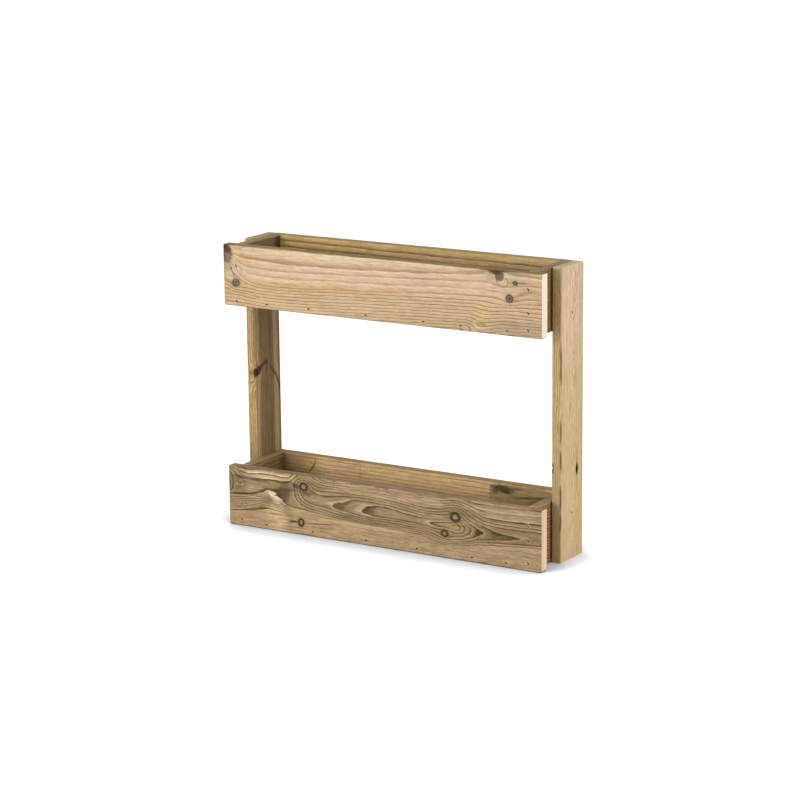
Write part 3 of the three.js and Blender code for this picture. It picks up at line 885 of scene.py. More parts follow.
    def finish(self, roughness, ends, rim, foot, fibres, rings, end_patch=None):
        """Adds fibres, weathered edges, cut ends and relief, and closes the material. rim and foot
        colour the upper and lower edge faces, or a post's back and front ones, as in worn_edge."""
        across = self.size[1]
        fibre = self.streaks(14, 0.8, 4, 0.7, 11)
        thread = self.streaks(36, 2.8, 4, 0.7, 17)
        fleck = self.streaks(17, 4.6, 4, 0.75, 37)
        band = self.streaks(130, 7, 3, 0.6, 29)
        patch = self.noise(self.vector(self.s * 0.03, self.t * 0.045, self.seed + 3), 3, 0.6)
        tone = 1.0 + (fibre * 0.5 + thread * 1.0 + fleck * 0.75 + band * 0.4 + patch * 0.2) * fibres
        self.tone(1, self.grey(tone))
        dash = self.ease(self.streaks(24, 2.6, 2, 0.5, 41), 0.05, 0.17)
        self.tone(dash * 0.45 * fibres, (0.66, 0.61, 0.54, 1))
        warm = self.noise(self.vector(self.s * 0.016, self.t * 0.06, self.seed + 9), 3, 0.6)
        self.tone(self.ease(warm, 0, 0.3) * 0.6, (1.07, 0.985, 0.93, 1))
        self.tone(self.ease(warm, 0, -0.3) * 0.6, (0.97, 1, 0.90, 1))
        pores = self.ease(self.streaks(8, 0.4, 1, 0.5, 23), 0.17, 0.27)
        self.tone(pores * 0.4 * fibres, (0.62, 0.55, 0.45, 1))
        if rim:
            self.worn_edge(rim, across - 2.2, across - 0.5)
        if foot:
            self.worn_edge(foot, 2.2, 0.5)
        end, grain_end = self.cut_ends(ends, rings, end_patch)
        bump = self.node("ShaderNodeBump")
        bump.inputs["Strength"].default_value = 0.55
        bump.inputs["Distance"].default_value = 0.001
        relief = self.height + fibre * 0.4 + thread * 0.25 - pores * 0.3 + end * grain_end * 0.8
        self.feed(bump.inputs["Height"], relief)
        shader = self.node("ShaderNodeBsdfPrincipled")
        shader.inputs["Specular IOR Level"].default_value = 0.2
        self.feed(shader.inputs["Base Color"], self.colour)
        self.feed(shader.inputs["Roughness"], roughness)
        self.links.new(bump.outputs[0], shader.inputs["Normal"])
        output = self.node("ShaderNodeOutputMaterial")
        self.links.new(shader.outputs[0], output.inputs["Surface"])
        return self.material


UPPER_KNOT = {"bark": "#544b3f", "flesh": "#6b6357", "heart": "#37312b", "halo": "#a08358",
              "halo_amount": 0.7, "heart_share": 0.27, "bark_width": 0.2}


def upper_front():
    w = Wood("upper_front_board")
    level = w.growth() + w.streaks(36, 6, 2, 0.6, 6) * 0.34
    w.colour = w.mix(w.ease(w.t, 74, 56), shade("#d0b592"), shade("#c9ae88"))
    w.stains([((-60, 129), (400, 7), "#dcc49e", 0.7, 1.6, 0.7, 0.4, 0.05),
              ((-120, 92), (200, 17), "#d9bb9c", 0.7, 2.4, 1, 0.5, 0.05),
              ((120, 100), (190, 12), "#d5b796", 0.6, 2.6, 1, 0.5, 0.05),
              ((-190, 55), (140, 8), "#c9a36c", 0.55, 2.6, 1.1, 0.5, 0.05),
              ((60, 70), (170, 8), "#c7a372", 0.4, 2.6, 1.1, 0.5, 0.05),
              ((-375, 34), (45, 20), "#c39a66", 0.4, 0, 1.2, 0.6),
              ((-345, 112), (34, 9), "#cfa878", 0.6, -12, 1.1, 0.6),
              ((372, 84), (46, 34), "#c39c69", 0.45, 0, 1.2, 0.5, 0.05),
              ((340, 16), (110, 18), "#ae9878", 0.8, 1, 1.1, 0.5, 0.05),
              ((160, 12), (240, 12), "#c0a67f", 0.55, 1, 1.1, 0.5, 0.05),
              ((-250, 14), (130, 13), "#cdb089", 0.5, 0, 1.1, 0.5, 0.05),
              ((262, 34), (24, 26), "#cdb47c", 0.6, 14, 1.1, 0.7, 0.25),
              ((247, 18), (12, 8), "#e0cb92", 0.6, 0, 0.8, 0.8, 0.4),
              ((255, 20), (11, 4), "#8f7846", 0.7, -8, 0.8, 0.8, 0.4)])
    power = w.curve(level, [(-1, 0.3), (0, 0.45), (1, 0.75), (2, 0.45), (3, 0.35), (4, 0.85),
                            (5, 1.05), (6, 1.15), (9, 1.1), (15, 1.1)], 15)
    power = power * (0.85 + w.noise(w.vector(level * 2.3, w.s * 0.006, w.seed), 2) * 1.3)
    share = w.curve(level, [(0, 0.5), (1, 0.55), (2, 0.4), (3, 0.35), (4, 0.45), (5, 0.36),
                            (15, 0.36)], 15)
    rings = w.ring_lines(level, ratio("#906f44", "#d3b68c"), ratio("#e2caa4", "#d3b68c"), share,
                         w.least(power, 1), 0.7)
    w.height = rings * 0.5
    w.stain((-390, 70), (15, 18), "#cbb98d", 0.65, 0, 1, 0.9)
    w.stain((-391, 93), (13, 17), "#aa9b72", 0.75, 0, 0.9, 0.9)
    w.stain((-391, 116), (15, 19), "#705a46", 0.93, 10, 0.5, 0.9)
    w.stain((-388, 108), (7, 9), "#8c765a", 0.6, 0, 1.1, 0.9)
    w.stain((-399, 112), (4, 22), "#4c3a2c", 0.6, 0, 1, 0.7)
    w.stain((-390, 128), (11, 10), "#4a3128", 0.8, -40, 0.8, 0.5)
    w.stain((-397, 134), (6, 6), "#2c1b16", 0.8, 0, 0.9, 0.5)
    w.stroke((-383, 88), (-369, 62), 2.2, "#8d7a50", 0.75)
    w.stroke((-381, 86), (-377, 83), 2, "#5b4125", 0.7)
    w.stroke((-366, 99), (-342, 70), 0.9, "#a5835a", 0.6)
    w.stroke((-343, 70), (-345, 58), 0.9, "#b08e63", 0.55)
    w.stroke((-356, 117.5), (-345, 117), 1.4, "#8b6a40", 0.6)
    w.stroke((-402, 57.5), (-380, 51), 1.8, "#9c6f3a", 0.7)
    w.knot((-367.5, 53), (9.2, 7.8), **UPPER_KNOT)
    w.stain((268, 130), (16, 4.5), "#a3925f", 0.55, -16, 1, 0.8)
    w.stain((298.5, 125), (11, 10.5), "#6b5c4b", 0.93, 0, 0.45, 0.7)
    w.stain((290, 131.5), (18, 5.5), "#68594a", 0.93, -4, 0.5, 0.7)
    w.stain((288, 133), (12, 5), "#413629", 0.75, -8, 0.9, 0.7)
    w.stain((290, 137), (27, 3), "#2b2119", 0.9, 0, 0.6, 0.5)
    loop = w.oval(w.s, w.t, (305, 114), (13.8, 10.8), -20)
    loop = loop + w.rag(0.3) * 0.12
    w.cover(w.bell((loop - 1) / 0.075) * w.ease(w.t, 126, 118) * 0.9, "#75593a")
    w.stain((275, 121), (8, 11), "#b5a878", 0.4, -30, 1.2, 0.9)
    w.stain((337, 113), (15, 5.5), "#b5a06f", 0.7, 0, 1, 0.5)
    w.stroke((316, 112.5), (368, 115), 1.3, "#80693f", 0.85)
    w.knot((336, 113), (5.4, 3.8), 0, "#3a4738", "#536050", "#62705d", "#a38a5d", 0.7, 0.3, 0.3)
    w.stroke((329, 83), (378, 99), 3.4, "#a98453", 0.75)
    w.stroke((326, 76), (345, 78), 2.2, "#94774a", 0.7)
    w.stroke((324.5, 70), (324.5, 55), 1.5, "#b18f5f", 0.6)
    w.stroke((201, 97), (201.5, 88), 1.2, "#b99566", 0.6)
    w.knot((322.5, 79.5), (8, 8), **UPPER_KNOT)
    hem = w.ease(w.t + w.rag(0.16) * 2.5, 2.6, 1)
    w.cover(hem * 0.4, "#8a7450")
    w.marks()
    return w.finish(0.66, ("#efdfc6", "#fbf0dc"), ("#604a24", "#a6884e", 0.95),
                    ("#a68c62", "#7c6a4c", 0.5), 0.8, rings)


def lower_front():
    w = Wood("lower_front_board")
    level = w.growth() + w.streaks(34, 5, 2, 0.6, 6) * 0.36
    calm = w.ease(level, 7, 7.4) * w.ease(w.s, -250, -215) * w.ease(w.t, 72, 60)
    calm = w.most(calm, w.ease(w.t, 46, 38) * w.ease(w.s, -215, -260))
    right_crest = w.ease(w.magnitude(w.s - 210), 70, 36)
    crest = w.ease(w.t, 106, 117) * w.ease(w.s, -150, -90) * (1.0 - right_crest)
    calm = w.most(calm, crest * 0.75)
    w.colour = w.mix(calm, shade("#9f8866"), shade("#ae9571"))
    w.stains([((-60, 43), (160, 3.4), "#c2a97e", 0.7, -0.5, 0.9, 0.4, 0.05),
              ((340, 45), (90, 4), "#bfa781", 0.7, 3.4, 0.9, 0.4, 0.05),
              ((330, 120), (120, 13), "#ab9876", 0.6, 0, 1.1, 0.4, 0.05),
              ((60, 119), (150, 9), "#b19675", 0.55, -1, 1.1, 0.4, 0.05),
              ((-300, 126), (80, 8.5), "#cbb58d", 0.85, 0, 0.7, 0.5, 0.1),
              ((-270, 109), (55, 8), "#957c56", 0.7, 3, 0.9, 0.5, 0.1),
              ((-250, 97), (30, 6), "#6f6149", 0.8, 9, 1, 0.6, 0.1),
              ((-320, 96), (70, 9), "#ab9270", 0.5, 0, 1, 0.5, 0.1),
              ((-277, 78), (20, 8), "#d3bf97", 0.85, -42, 0.8, 0.4, 0.1),
              ((-330, 74), (26, 3), "#c3a982", 0.7, 4, 0.9, 0.5, 0.1),
              ((-272, 30), (25, 34), "#c4aa7e", 0.95, 4, 0.9, 0.25, 0.08),
              ((-345, 20), (60, 24), "#b08f6c", 0.6, 0, 1, 0.4),
              ((-380, 99), (30, 26), "#7a6a4f", 0.7, 0, 0.9, 0.5),
              ((-45, 56), (80, 7.5), "#83704e", 0.75, -2, 0.9, 0.4, 0.05),
              ((80, 58), (110, 13), "#957a58", 0.65, -3, 1, 0.4, 0.05),
              ((300, 68), (95, 17), "#877150", 0.8, 1, 0.8, 0.4, 0.05),
              ((330, 99), (90, 5), "#8f7553", 0.75, 1, 0.8, 0.4, 0.05),
              ((190, 108), (40, 14), "#85714f", 0.6, 0, 1, 0.5, 0.1),
              ((-190, 117), (40, 12), "#806b49", 0.55, 0, 1, 0.5, 0.1)])
    power = 1.0 - calm * 0.88
    power = power * (0.95 + w.noise(w.vector(level * 2.3, w.s * 0.006, w.seed), 2) * 1.2)
    brown = w.noise(w.vector(level * 1.1, w.s * 0.008, w.seed + 5), 1)
    brown = w.ease(brown, -0.12, 0.12)
    late = w.mix(brown, ratio("#5c492d", "#a68d69"), ratio("#5e402a", "#a68d69"))
    rings = w.ring_lines(level, late, ratio("#ccb58d", "#a68d69"), 0.48, w.least(power, 1),
                         (1.0 - calm * 0.7) * 0.85)
    w.height = rings * 0.8
    w.stroke((-404, 71), (-325, 78.5), 2.6, "#4c3821", 0.85)
    w.stroke((-404, 32), (-315, 43.5), 1.7, "#624a2c", 0.85)
    w.stroke((-345, 113), (-293, 115), 1.8, "#62502f", 0.8)
    w.stroke((-372, 128.5), (-345, 123.5), 1.6, "#64492c", 0.7)
    for spot in ((-378, 95.5), (-364.5, 96.5)):
        w.stain(spot, (2.6, 2.4), "#c8b993", 0.85)
    w.stain((-358, 103), (3.2, 2.6), "#4e4130", 0.7)
    w.stroke((-230, 113), (-208, 108), 4.5, "#4a3726", 0.8)
    for centre, radii in (((-199, 111), (9.8, 8.8)), ((-207, 29), (7.6, 8.6)),
                          ((189, 94.5), (11.6, 9.6)), ((162.5, 55), (8, 7.4))):
        w.knot(centre, radii, halo="#745c3c")
    w.stroke((-238, 27), (-214, 29.5), 2.6, "#4b3a25", 0.9)
    w.stroke((-200, 27), (-112, 36), 1.5, "#6b5233", 0.8)
    w.stain((-191, 97), (12, 6), "#6f5a38", 0.75, 0, 0.8, 0.5)
    w.stain((186, 76), (6, 4.2), "#7f6138", 0.8, 0, 0.8, 0.5)
    w.stain((186, 73), (15, 7), "#b39a64", 0.45, 0, 0.9, 0.5)
    w.stain((367, 99.5), (3, 2.6), "#dcc9a6", 0.8)
    top = w.noise(w.vector(w.s * 0.045, w.seed, 2), 3, 0.6)
    w.tone(w.ease(top, 0.04, 0.18) * w.ease(w.t, 130, 135) * 0.8, (0.34, 0.30, 0.26, 1))
    w.stroke((368, 136.4), (396, 134.6), 1.7, "#42341f", 0.85)
    grime = w.streaks(70, 9, 3, 0.65, 51)
    w.tone(w.ease(grime, 0, 0.25) * 0.7, (0.80, 0.78, 0.74, 1))
    w.tone(w.ease(grime, 0, -0.25) * 0.6, (1.16, 1.15, 1.12, 1))
    w.marks()
    hem = w.ease(w.t + w.rag(0.16) * 2.5, 3.4, 1.6)
    w.cover(hem * 0.65, "#544833")
    pink = w.oval(w.d, w.t, (12, 62), (9, 58)) + w.rag(0.1) * 0.8
    pink = w.ease(pink, 1.2, 0.6) * w.ease(w.s, 398.6, 399.4)
    return w.finish(0.7, ("#cfb893", "#e9d3b3"), ("#6e5b3e", "#b89d70", 0.9),
                    ("#7f6c4b", "#544630", 0.8), 1.35, rings, (pink, "#efcdb2"))


def plain_rings(w, pith, pitch, slope=0, wander=6):
    """Ring numbers round a pith that lies off the board."""
    side = w.flow - pith[0] + w.s * slope + w.wander * wander
    deep = w.d - pith[1]
    level = w.root(side * side + deep * deep) / pitch
    level = level + w.noise(w.vector(level * 0.9, w.seed, w.seed), 1) * 0.7
    return level + w.streaks(45, 8, 2, 0.6, 6) * 0.3


def plain_board(board, base, late, bright, pitch, pith, slope=0, strength=1, stains=(), over=(),
                strokes=(), rim=("#82704e", "#b39c6e", 0.85)):
    """A straight-grained board. The stains lie under its rings; what is over them fades with depth,
    so that it doesn't show on the board's far side."""
    w = Wood(board)
    level = plain_rings(w, pith, pitch, slope)
    w.colour = w.node_colour(base)
    w.stains(stains)
    power = strength * (0.85 + w.noise(w.vector(level * 2.3, w.s * 0.005, w.seed), 2) * 1.3)
    rings = w.ring_lines(level, ratio(late, base), ratio(bright, base), 0.5, w.least(power, 1),
                         0.8 * strength)
    w.height = rings * 0.6
    if over or strokes:
        w.fade = w.ease(w.d, 14, 6)
    w.stains(over)
    w.strokes(strokes)
    w.fade = None
    if staples_of(board):
        w.marks()
    return w.finish(0.72, ("#d8c39c", "#e6d5b4"), rim, ("#7c6b4e", "#998560", 0.5), 1, rings)


def post_left():
    """Its inner face is dark brown with a paler front corner; its front face is golden."""
    w = Wood("post_left")
    w.part_round([((338, 4), 12, 1.3), ((352, 43.5), 5, 1.4)])
    bands = w.curve(w.flow, [(0, 0.75), (10, 0.8), (16, 0.35), (22, 0.2), (45, 0.22), (57, 0.05),
                             (68, 0.15), (76, 0.6), (84, 0.65), (90, 0.25), (100, 0.2)], 100)
    bands = bands + w.streaks(220, 8, 3, 0.6, 2) * 0.5
    w.colour = w.ramp(bands, [(0, shade("#7c6445")), (0.25, shade("#957b55")),
                              (0.55, shade("#ac9569")), (1, shade("#c6a877"))])
    level = plain_rings(w, (-30, 40), 6, wander=8)
    rings = w.ring_lines(level, ratio("#7b6040", "#a58f64"), ratio("#b9a274", "#a58f64"), 0.5, 0.5,
                         0.35)
    w.height = rings * 0.5
    front = w.ease(w.t, 1.6, 0.3)
    q = w.oval(w.s, w.d, (334, 0), (12.5, 6.5))
    face_level = w.d / 6.0 + w.s * 0.0012 + w.bell((q - 1.2) / 1.4) * 1.8 + w.wander * 2.2
    face_level = face_level + w.noise(w.vector(w.s * 0.02, w.d * 0.12, 8), 2) * 1.6
    face, _ = w.rings_on(w.node_colour("#b99c6b"), face_level, ratio("#82663c", "#bb9d6c"),
                         ratio("#d2b88c", "#bb9d6c"), 0.45, 1, 0.9)
    face = w.tint(w.ease(w.s, 215, 130) * 0.8, face, (0.82, 0.84, 0.86, 1))
    face = w.mix(w.ease(w.d, 7, 4) * w.ease(w.s, 340, 380) * 0.8, face, shade("#85714a"))
    ragged = q + w.noise(w.vector(w.s * 0.2, w.d * 0.3, 1), 2) * 0.4
    face = w.mix(w.ease(ragged, 1.05, 0.85) * 0.97, face, shade("#3d2717"))
    w.colour = w.mix(front, w.colour, face)
    side = 1.0 - front
    for start, end, width, code, amount in (((330, -4), (343, 22), 9.5, "#4a301d", 0.97),
                                            ((336, 2), (351, 38), 5.5, "#5a3d26", 0.95),
                                            ((331, -3), (339, 10), 6.5, "#321e11", 0.85),
                                            ((341, 58), (311, 86), 3.6, "#57442b", 0.8),
                                            ((318, 82), (266, 102), 4.2, "#443b26", 0.7),
                                            ((352, 46), (325, 44), 2.4, "#514126", 0.6),
                                            ((318, 42), (120, 47), 1.6, "#66512f", 0.5)):
        w.stroke(start, end, width, code, side * amount, 0.6)
    w.knot((352, 43.5), (4.6, 4.4), 0, "#35331f", "#4b452b", "#3a3622", "#64502f", 0.5, 0.3, 0.3)
    w.marks()
    return w.finish(0.72, ("#a38f73", "#c9b494"), ("#8f7a54", "#a58d62", 0.7), None, 1, rings)


def post_right():
    """Its side is pale tan and turns pink towards the top; its front face is darker."""
    w = Wood("post_right")
    w.part_round([((193, 72.5), 3, 2.2)])
    w.colour = w.mix(w.ease(w.s, 330, 620), shade("#c8b089"), shade("#d1b798"))
    w.stains([((90, 80), (120, 16), "#c4ac74", 0.7, 0, 1.1, 0.5, 0.05),
              ((330, 84), (220, 9), "#cbb684", 0.5, 0, 1.1, 0.5, 0.05),
              ((300, 30), (300, 16), "#cdb68a", 0.5, 0, 1.1, 0.5, 0.05),
              ((560, 40), (120, 30), "#dabb99", 0.5, 0, 1.1, 0.5, 0.05)])
    level = plain_rings(w, (52, 46), 7, wander=10)
    power = 0.5 + w.noise(w.vector(level * 2.3, w.s * 0.005, w.seed), 2) * 0.9
    rings = w.ring_lines(level, ratio("#b59a6e", "#ceb78c"), ratio("#dcc69f", "#ceb78c"), 0.5,
                         w.least(w.most(power, 0), 1) * 0.6, 0.4)
    w.height = rings * 0.5
    fleck = w.noise(w.vector(w.s * 0.07, w.t * 0.24, 7), 2, 0.5)
    row = w.bell((w.t - 56.0 - w.wander * 14) / 6.5) * w.ease(w.s, 20, 60)
    w.cover(w.ease(fleck, 0.04, 0.13) * row * 0.8, "#e8cf94")
    w.cover(w.ease(fleck, -0.04, -0.13) * row * 0.75, "#b98e64")
    for start, end in (((628, 62), (604, 66)), ((606, 66), (585, 58)), ((600, 70), (578, 66)),
                       ((622, 70), (610, 72)), ((570, 60), (556, 57)), ((545, 64), (528, 60)),
                       ((420, 66), (375, 68)), ((352, 44), (310, 42)), ((160, 70), (128, 76))):
        w.stroke(start, end, 1.5, "#a8835a", 0.75)
    edge_band = w.ease(w.t + w.wander * 8, 84, 96)
    w.cover(edge_band * 0.45, "#bda57a")
    corner = w.ease(w.t + w.noise(w.vector(w.s * 0.02, w.d, 3), 3, 0.6) * 7, 5, 1)
    w.cover(corner * 0.5 * w.ease(w.d, 8, 2), "#978656")
    face_level = w.d / 5.5 + w.wander * 3.0 + w.noise(w.vector(w.s * 0.012, w.d * 0.1, 8), 2) * 1.4
    face, _ = w.rings_on(w.node_colour("#bfa678"), face_level, ratio("#8d7446", "#bda178"),
                         ratio("#d0b98f", "#bda178"), 0.45, 0.9, 0.9)
    # Painted light and shade on the front face: lighter towards its top, painted light in the upper
    # trough's shadow, and darker towards its bottom, painted shade just over the lower trough.
    face = w.mix(w.ease(w.s, 520, 560) * 0.4, face, shade("#c4ac7c"))
    face = w.mix(w.ease(w.s, 250, 120) * 0.6, face, shade("#af976c"))
    w.colour = w.mix(w.ease(w.t, 1.6, 0.3), w.colour, face)
    for start, end in (((395, 0.5), (468, 0.5)), ((262, 0.5), (312, 0.8)), ((205, 0.8), (248, 0.6)),
                       ((120, 0.5), (168, 0.5)), ((72, 0.6), (108, 0.6))):
        w.stroke(start, end, 2.6, "#5c4720", w.ease(w.d, 3.6, 1.8) * 0.8)
    rim_of_hole = w.oval(w.s, w.t, (208, 0.5), (11, 6.5))
    w.cover(w.ease(rim_of_hole, 1.1, 0.8) * w.ease(w.d, 16, 19) * 0.9, "#3a1f15")
    w.stroke((150, 72.5), (246, 72.5), 1.7, "#8a7142", 0.85)
    w.stroke((178, 72.5), (212, 72.5), 2.6, "#5b4424", 0.85)
    # The near-black core is painted shade deep inside the split.
    w.stain((193.5, 72.5), (12, 5.4), "#130c06", 1, 0, 0.7, 0.3)
    for start, end in (((31, 49), (38, 53)), ((604, 50), (607, 44))):
        w.stroke(start, end, 1.8, "#e2d8c6", 0.7)
    w.stroke((34, 55), (39, 48), 1, "#8b8171", 0.7)
    w.stroke((455, 60), (500, 57.5), 1.2, "#b08f63", 0.7)
    w.marks()
    return w.finish(0.72, ("#c0ad8d", "#dccdb0"), ("#a08a60", "#b79f74", 0.5), None, 0.8, rings)


def steel(name, dark, light):
    g = Graph(name)
    place = g.node("ShaderNodeTexCoord")
    here = Signal(g, place.outputs["Object"])
    scaled = g.node("ShaderNodeVectorMath", operation="SCALE")
    g.links.new(here.socket, scaled.inputs[0])
    scaled.inputs["Scale"].default_value = 1800.0
    spots = g.noise(Signal(g, scaled.outputs[0]), 3, 0.6)
    colour = g.mix(g.ease(spots, -0.1, 0.2), shade(dark), shade(light))
    shader = g.node("ShaderNodeBsdfPrincipled")
    shader.inputs["Metallic"].default_value = 0.6
    g.feed(shader.inputs["Base Color"], colour)
    g.feed(shader.inputs["Roughness"], g.ease(spots, -0.2, 0.3, 0.65, 0.4))
    output = g.node("ShaderNodeOutputMaterial")
    g.links.new(shader.outputs[0], output.inputs["Surface"])
    return g.material


MATERIALS = {
    "upper_front_board": upper_front,
    "lower_front_board": lower_front,
    "post_left": post_left,
    "post_right": post_right,
    "upper_back_board": lambda: plain_board(
        "upper_back_board", "#d9bd85", "#8f7345", "#e9d09c", 9, (150, 45), 0.008, 1,
        # The darker band low down is painted shade below the front board's top edge.
        stains=[((0, 78), (500, 16), "#c0a768", 0.55, 0, 1.2, 0.4, 0.05),
                ((-250, 118), (160, 16), "#e0c077", 0.6, 0, 1.2, 0.4, 0.05)]),
    "lower_back_board": lambda: plain_board(
        "lower_back_board", "#e2c18b", "#b18f5c", "#efd3a2", 7.2, (170, 38), 0.006,
        stains=[((-190, 118), (44, 40), "#e2b68c", 0.55, 0, 0.6, 0.35)],
        over=[((275, 108), (92, 30), "#a38e63", 0.85, 0, 0.35, 0.4),
              ((214, 124), (27, 8), "#3d3426", 0.85, -4, 0.9, 1.6, 0.2),
              ((196, 119), (10, 9), "#55492f", 0.7, 0, 1, 1.2, 0.2),
              ((222, 117), (16, 4), "#463b29", 0.7, -10, 0.9, 1.2, 0.2),
              ((250, 127), (16, 3), "#5a4d35", 0.6, 6, 0.9, 1.2, 0.2),
              # The dark patch at the left end is a painted shadow of the left end panel in the
              # trough's inner corner.
              ((-350, 95), (75, 60), "#7a6341", 0.8, 0, 1.3, 0.4)],
        strokes=[((-290, 97), (-276, 116), 2.4, "#5d4a2c", 0.8),
                 ((-278, 108), (-272, 131), 2, "#6a5533", 0.7),
                 ((-276, 112), (-286, 124), 1.6, "#6a5533", 0.6),
                 ((-153, 92), (-152, 135), 1.2, "#a1764a", 0.7),
                 ((184, 92), (187, 130), 2, "#75613c", 0.5),
                 ((236, 105), (345, 118), 3, "#5f4f35", 0.7),
                 ((285, 97), (352, 103), 13, "#5e4b2d", 0.6)]),
    "upper_left_end_panel": lambda: plain_board(
        "upper_left_end_panel", "#7c6a49", "#5d4b33", "#8d7a56", 8, (180, 50), 0, 0.6,
        # The dark patch near the back end is painted shade in the corner against the back board.
        stains=[((60, 100), (14, 60), "#3b2f20", 0.8, 0, 1.2, 0.4)]),
    "lower_left_end_panel": lambda: plain_board(
        "lower_left_end_panel", "#8a7550", "#63503a", "#a38f69", 7, (180, 50), 0, 0.8,
        # The dark patch near the back end is painted shade in the corner against the back board.
        stains=[((60, 80), (16, 60), "#54432c", 0.7, 0, 1.2, 0.4)],
        rim=("#8d7b5c", "#b09c78", 0.85)),
    "upper_right_end_panel": lambda: plain_board(
        # The dark base colour is partly painted shade of the recess between the front board and the
        # post, and the dark strip at the post end is painted shade in the groove along the post's
        # edge.
        "upper_right_end_panel", "#80613a", "#563d22", "#9b7747", 5.5, (180, 40), 0, 0.8,
        stains=[((-10, 68), (5, 120), "#261a0c", 0.9, 0, 1, 0.5),
                ((-42, 75), (16, 30), "#a06a42", 0.6, 0, 1.2, 0.5)]),
    "lower_right_end_panel": lambda: plain_board(
        "lower_right_end_panel", "#8f6c3b", "#2c1e0e", "#c29350", 6.5, (180, 40), 0, 1,
        # The dark strip at the post end is painted shade in the groove along the post's edge.
        stains=[((-10, 68), (4.5, 120), "#261a0c", 0.85, 0, 1, 0.5)]),
    "upper_bottom_board": lambda: plain_board(
        "upper_bottom_board", "#a98c60", "#86693f", "#bba077", 6, (70, 35)),
    "lower_bottom_board": lambda: plain_board(
        "lower_bottom_board", "#a98c60", "#86693f", "#bba077", 6, (70, 35)),
}

for board_name in BOARDS:
    wood = make_board(board_name)
    wood.data.materials.clear()
    wood.data.materials.append(MATERIALS[board_name]())

wire = steel("rusty_steel", "#3b2c1c", "#6a5a45")
bright_wire = steel("bright_steel", "#b9b2a6", "#d9d3c8")
for node_name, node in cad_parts.items():
    if "staple" in node_name:
        for material_slot in node.material_slots:
            material_slot.material = bright_wire if node_name in BRIGHT_STAPLES else wire

# ---------------------------------------------------------------- floor, light and camera

AZIMUTH = math.radians(31.54)
ELEVATION = math.radians(13.03)
ROLL = math.radians(-0.6)
TARGET = Vector((2.7, -8.5, 314.4)) * MM
DISTANCE = 5859.5 * MM
FOCAL_PIXELS = 2686.24
PICTURE_PIXELS = 800
SENSOR = 36.0


def make_camera():
    forward = Vector((-math.sin(AZIMUTH) * math.cos(ELEVATION),
                      math.cos(AZIMUTH) * math.cos(ELEVATION), -math.sin(ELEVATION)))
    right = Vector((math.cos(AZIMUTH), math.sin(AZIMUTH), 0))
    upward = right.cross(forward)
    turned_right = right * math.cos(ROLL) + upward * math.sin(ROLL)
    turned_up = upward * math.cos(ROLL) - right * math.sin(ROLL)
    place = TARGET - forward * DISTANCE
    data = bpy.data.cameras.new("camera")
    data.sensor_fit = "HORIZONTAL"
    data.sensor_width = SENSOR
    data.lens = FOCAL_PIXELS / PICTURE_PIXELS * SENSOR
    data.clip_start = 0.1
    data.clip_end = 100.0
    camera = bpy.data.objects.new("camera", data)
    basis = Matrix((turned_right, turned_up, -forward)).transposed().to_4x4()
    camera.matrix_world = Matrix.Translation(place) @ basis
    bpy.context.scene.collection.objects.link(camera)
    bpy.context.scene.camera = camera


def seen_straight(g):
    """1 for rays from the camera, a mirror or through glass, and 0 for the light on surfaces."""
    path = g.node("ShaderNodeLightPath")
    straight = Signal(g, path.outputs["Is Camera Ray"])
    glossy = Signal(g, path.outputs["Is Glossy Ray"])
    through = Signal(g, path.outputs["Is Transmission Ray"])
    return g.least(straight + glossy + through, 1)


# The floor as the camera sees it: lit to white, with a painted grey contact shadow where it meets
# the timber, driven by an ambient occlusion mask.
PAPER = (1.72, 1.80, 1.92, 1)
# The seen paper's colour in its painted contact shadow, and how far that painted shadow reaches.
PAINTED_SHADOW_PAPER = (0.95, 1.02, 1.13, 1)
PAINTED_SHADOW_REACH = 0.11
FLOOR_REACH = 20.0
FLOOR_GREY = (0.86, 0.86, 0.86, 1)
WHITE = (1, 1, 1, 1)
# How strongly the world lights the object, from below the horizon to straight above.
WORLD_LOW, WORLD_HIGH = 0.62, 0.60
LAMP_AIM = (0, 0, 0.3)


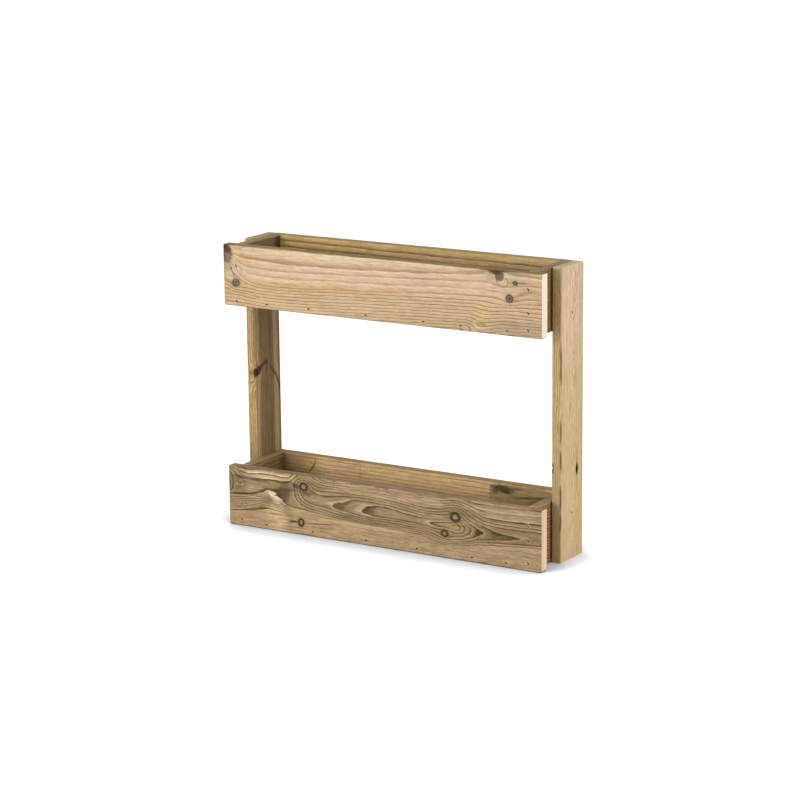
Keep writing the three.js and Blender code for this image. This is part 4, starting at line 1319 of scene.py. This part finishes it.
def make_floor():
    data = bpy.data.meshes.new("floor")
    corners = [(across * FLOOR_REACH, deep * FLOOR_REACH, 0)
               for across, deep in ((-1, -1), (1, -1), (1, 1), (-1, 1))]
    data.from_pydata(corners, [], [(0, 1, 2, 3)])
    floor = bpy.data.objects.new("floor", data)
    bpy.context.scene.collection.objects.link(floor)
    g = Graph("floor_paper")
    lit = g.node("ShaderNodeBsdfDiffuse")
    lit.inputs["Color"].default_value = FLOOR_GREY
    seen = g.node("ShaderNodeBsdfDiffuse")
    corner = g.node("ShaderNodeAmbientOcclusion", samples=8)
    corner.inputs["Distance"].default_value = PAINTED_SHADOW_REACH
    # Painted contact shadow: the seen paper turns grey where the ambient occlusion mask finds
    # timber close by.
    paper = g.mix(g.ease(Signal(g, corner.outputs["AO"]), 0.5, 0.98), PAINTED_SHADOW_PAPER, PAPER)
    g.feed(seen.inputs["Color"], paper)
    mixed = g.node("ShaderNodeMixShader")
    path = g.node("ShaderNodeLightPath")
    g.links.new(path.outputs["Is Camera Ray"], mixed.inputs[0])
    g.links.new(lit.outputs[0], mixed.inputs[1])
    g.links.new(seen.outputs[0], mixed.inputs[2])
    output = g.node("ShaderNodeOutputMaterial")
    g.links.new(mixed.outputs[0], output.inputs["Surface"])
    data.materials.append(g.material)


def make_world():
    world = bpy.data.worlds.new("studio")
    bpy.context.scene.world = world
    world.use_nodes = True
    tree = world.node_tree
    tree.nodes.clear()
    g = Graph.__new__(Graph)
    g.nodes, g.links = tree.nodes, tree.links
    place = g.node("ShaderNodeTexCoord")
    split = g.node("ShaderNodeSeparateXYZ")
    g.links.new(place.outputs["Generated"], split.inputs[0])
    strength = g.ease(Signal(g, split.outputs[2]), -0.1, 1, WORLD_LOW, WORLD_HIGH)
    soft = g.node("ShaderNodeBackground")
    soft.inputs["Color"].default_value = WHITE
    g.feed(soft.inputs["Strength"], strength)
    white = g.node("ShaderNodeBackground")
    white.inputs["Color"].default_value = WHITE
    white.inputs["Strength"].default_value = 1.0
    mixed = g.node("ShaderNodeMixShader")
    g.feed(mixed.inputs[0], seen_straight(g))
    g.links.new(soft.outputs[0], mixed.inputs[1])
    g.links.new(white.outputs[0], mixed.inputs[2])
    output = g.node("ShaderNodeOutputWorld")
    g.links.new(mixed.outputs[0], output.inputs["Surface"])


def add_lamp(name, place, size, power):
    data = bpy.data.lights.new(name, "AREA")
    data.shape = "RECTANGLE"
    data.size = data.size_y = size
    data.energy = power
    lamp = bpy.data.objects.new(name, data)
    lamp.location = place
    lamp.rotation_euler = (Vector(LAMP_AIM) - Vector(place)).to_track_quat("-Z", "Y").to_euler()
    bpy.context.scene.collection.objects.link(lamp)


make_camera()
make_floor()
make_world()
add_lamp("key", (-0.9, -3.3, 1), 1, 48)
add_lamp("side", (3.9, -0.25, 1.1), 1.2, 51)

bpy.context.scene.view_settings.view_transform = "Standard"
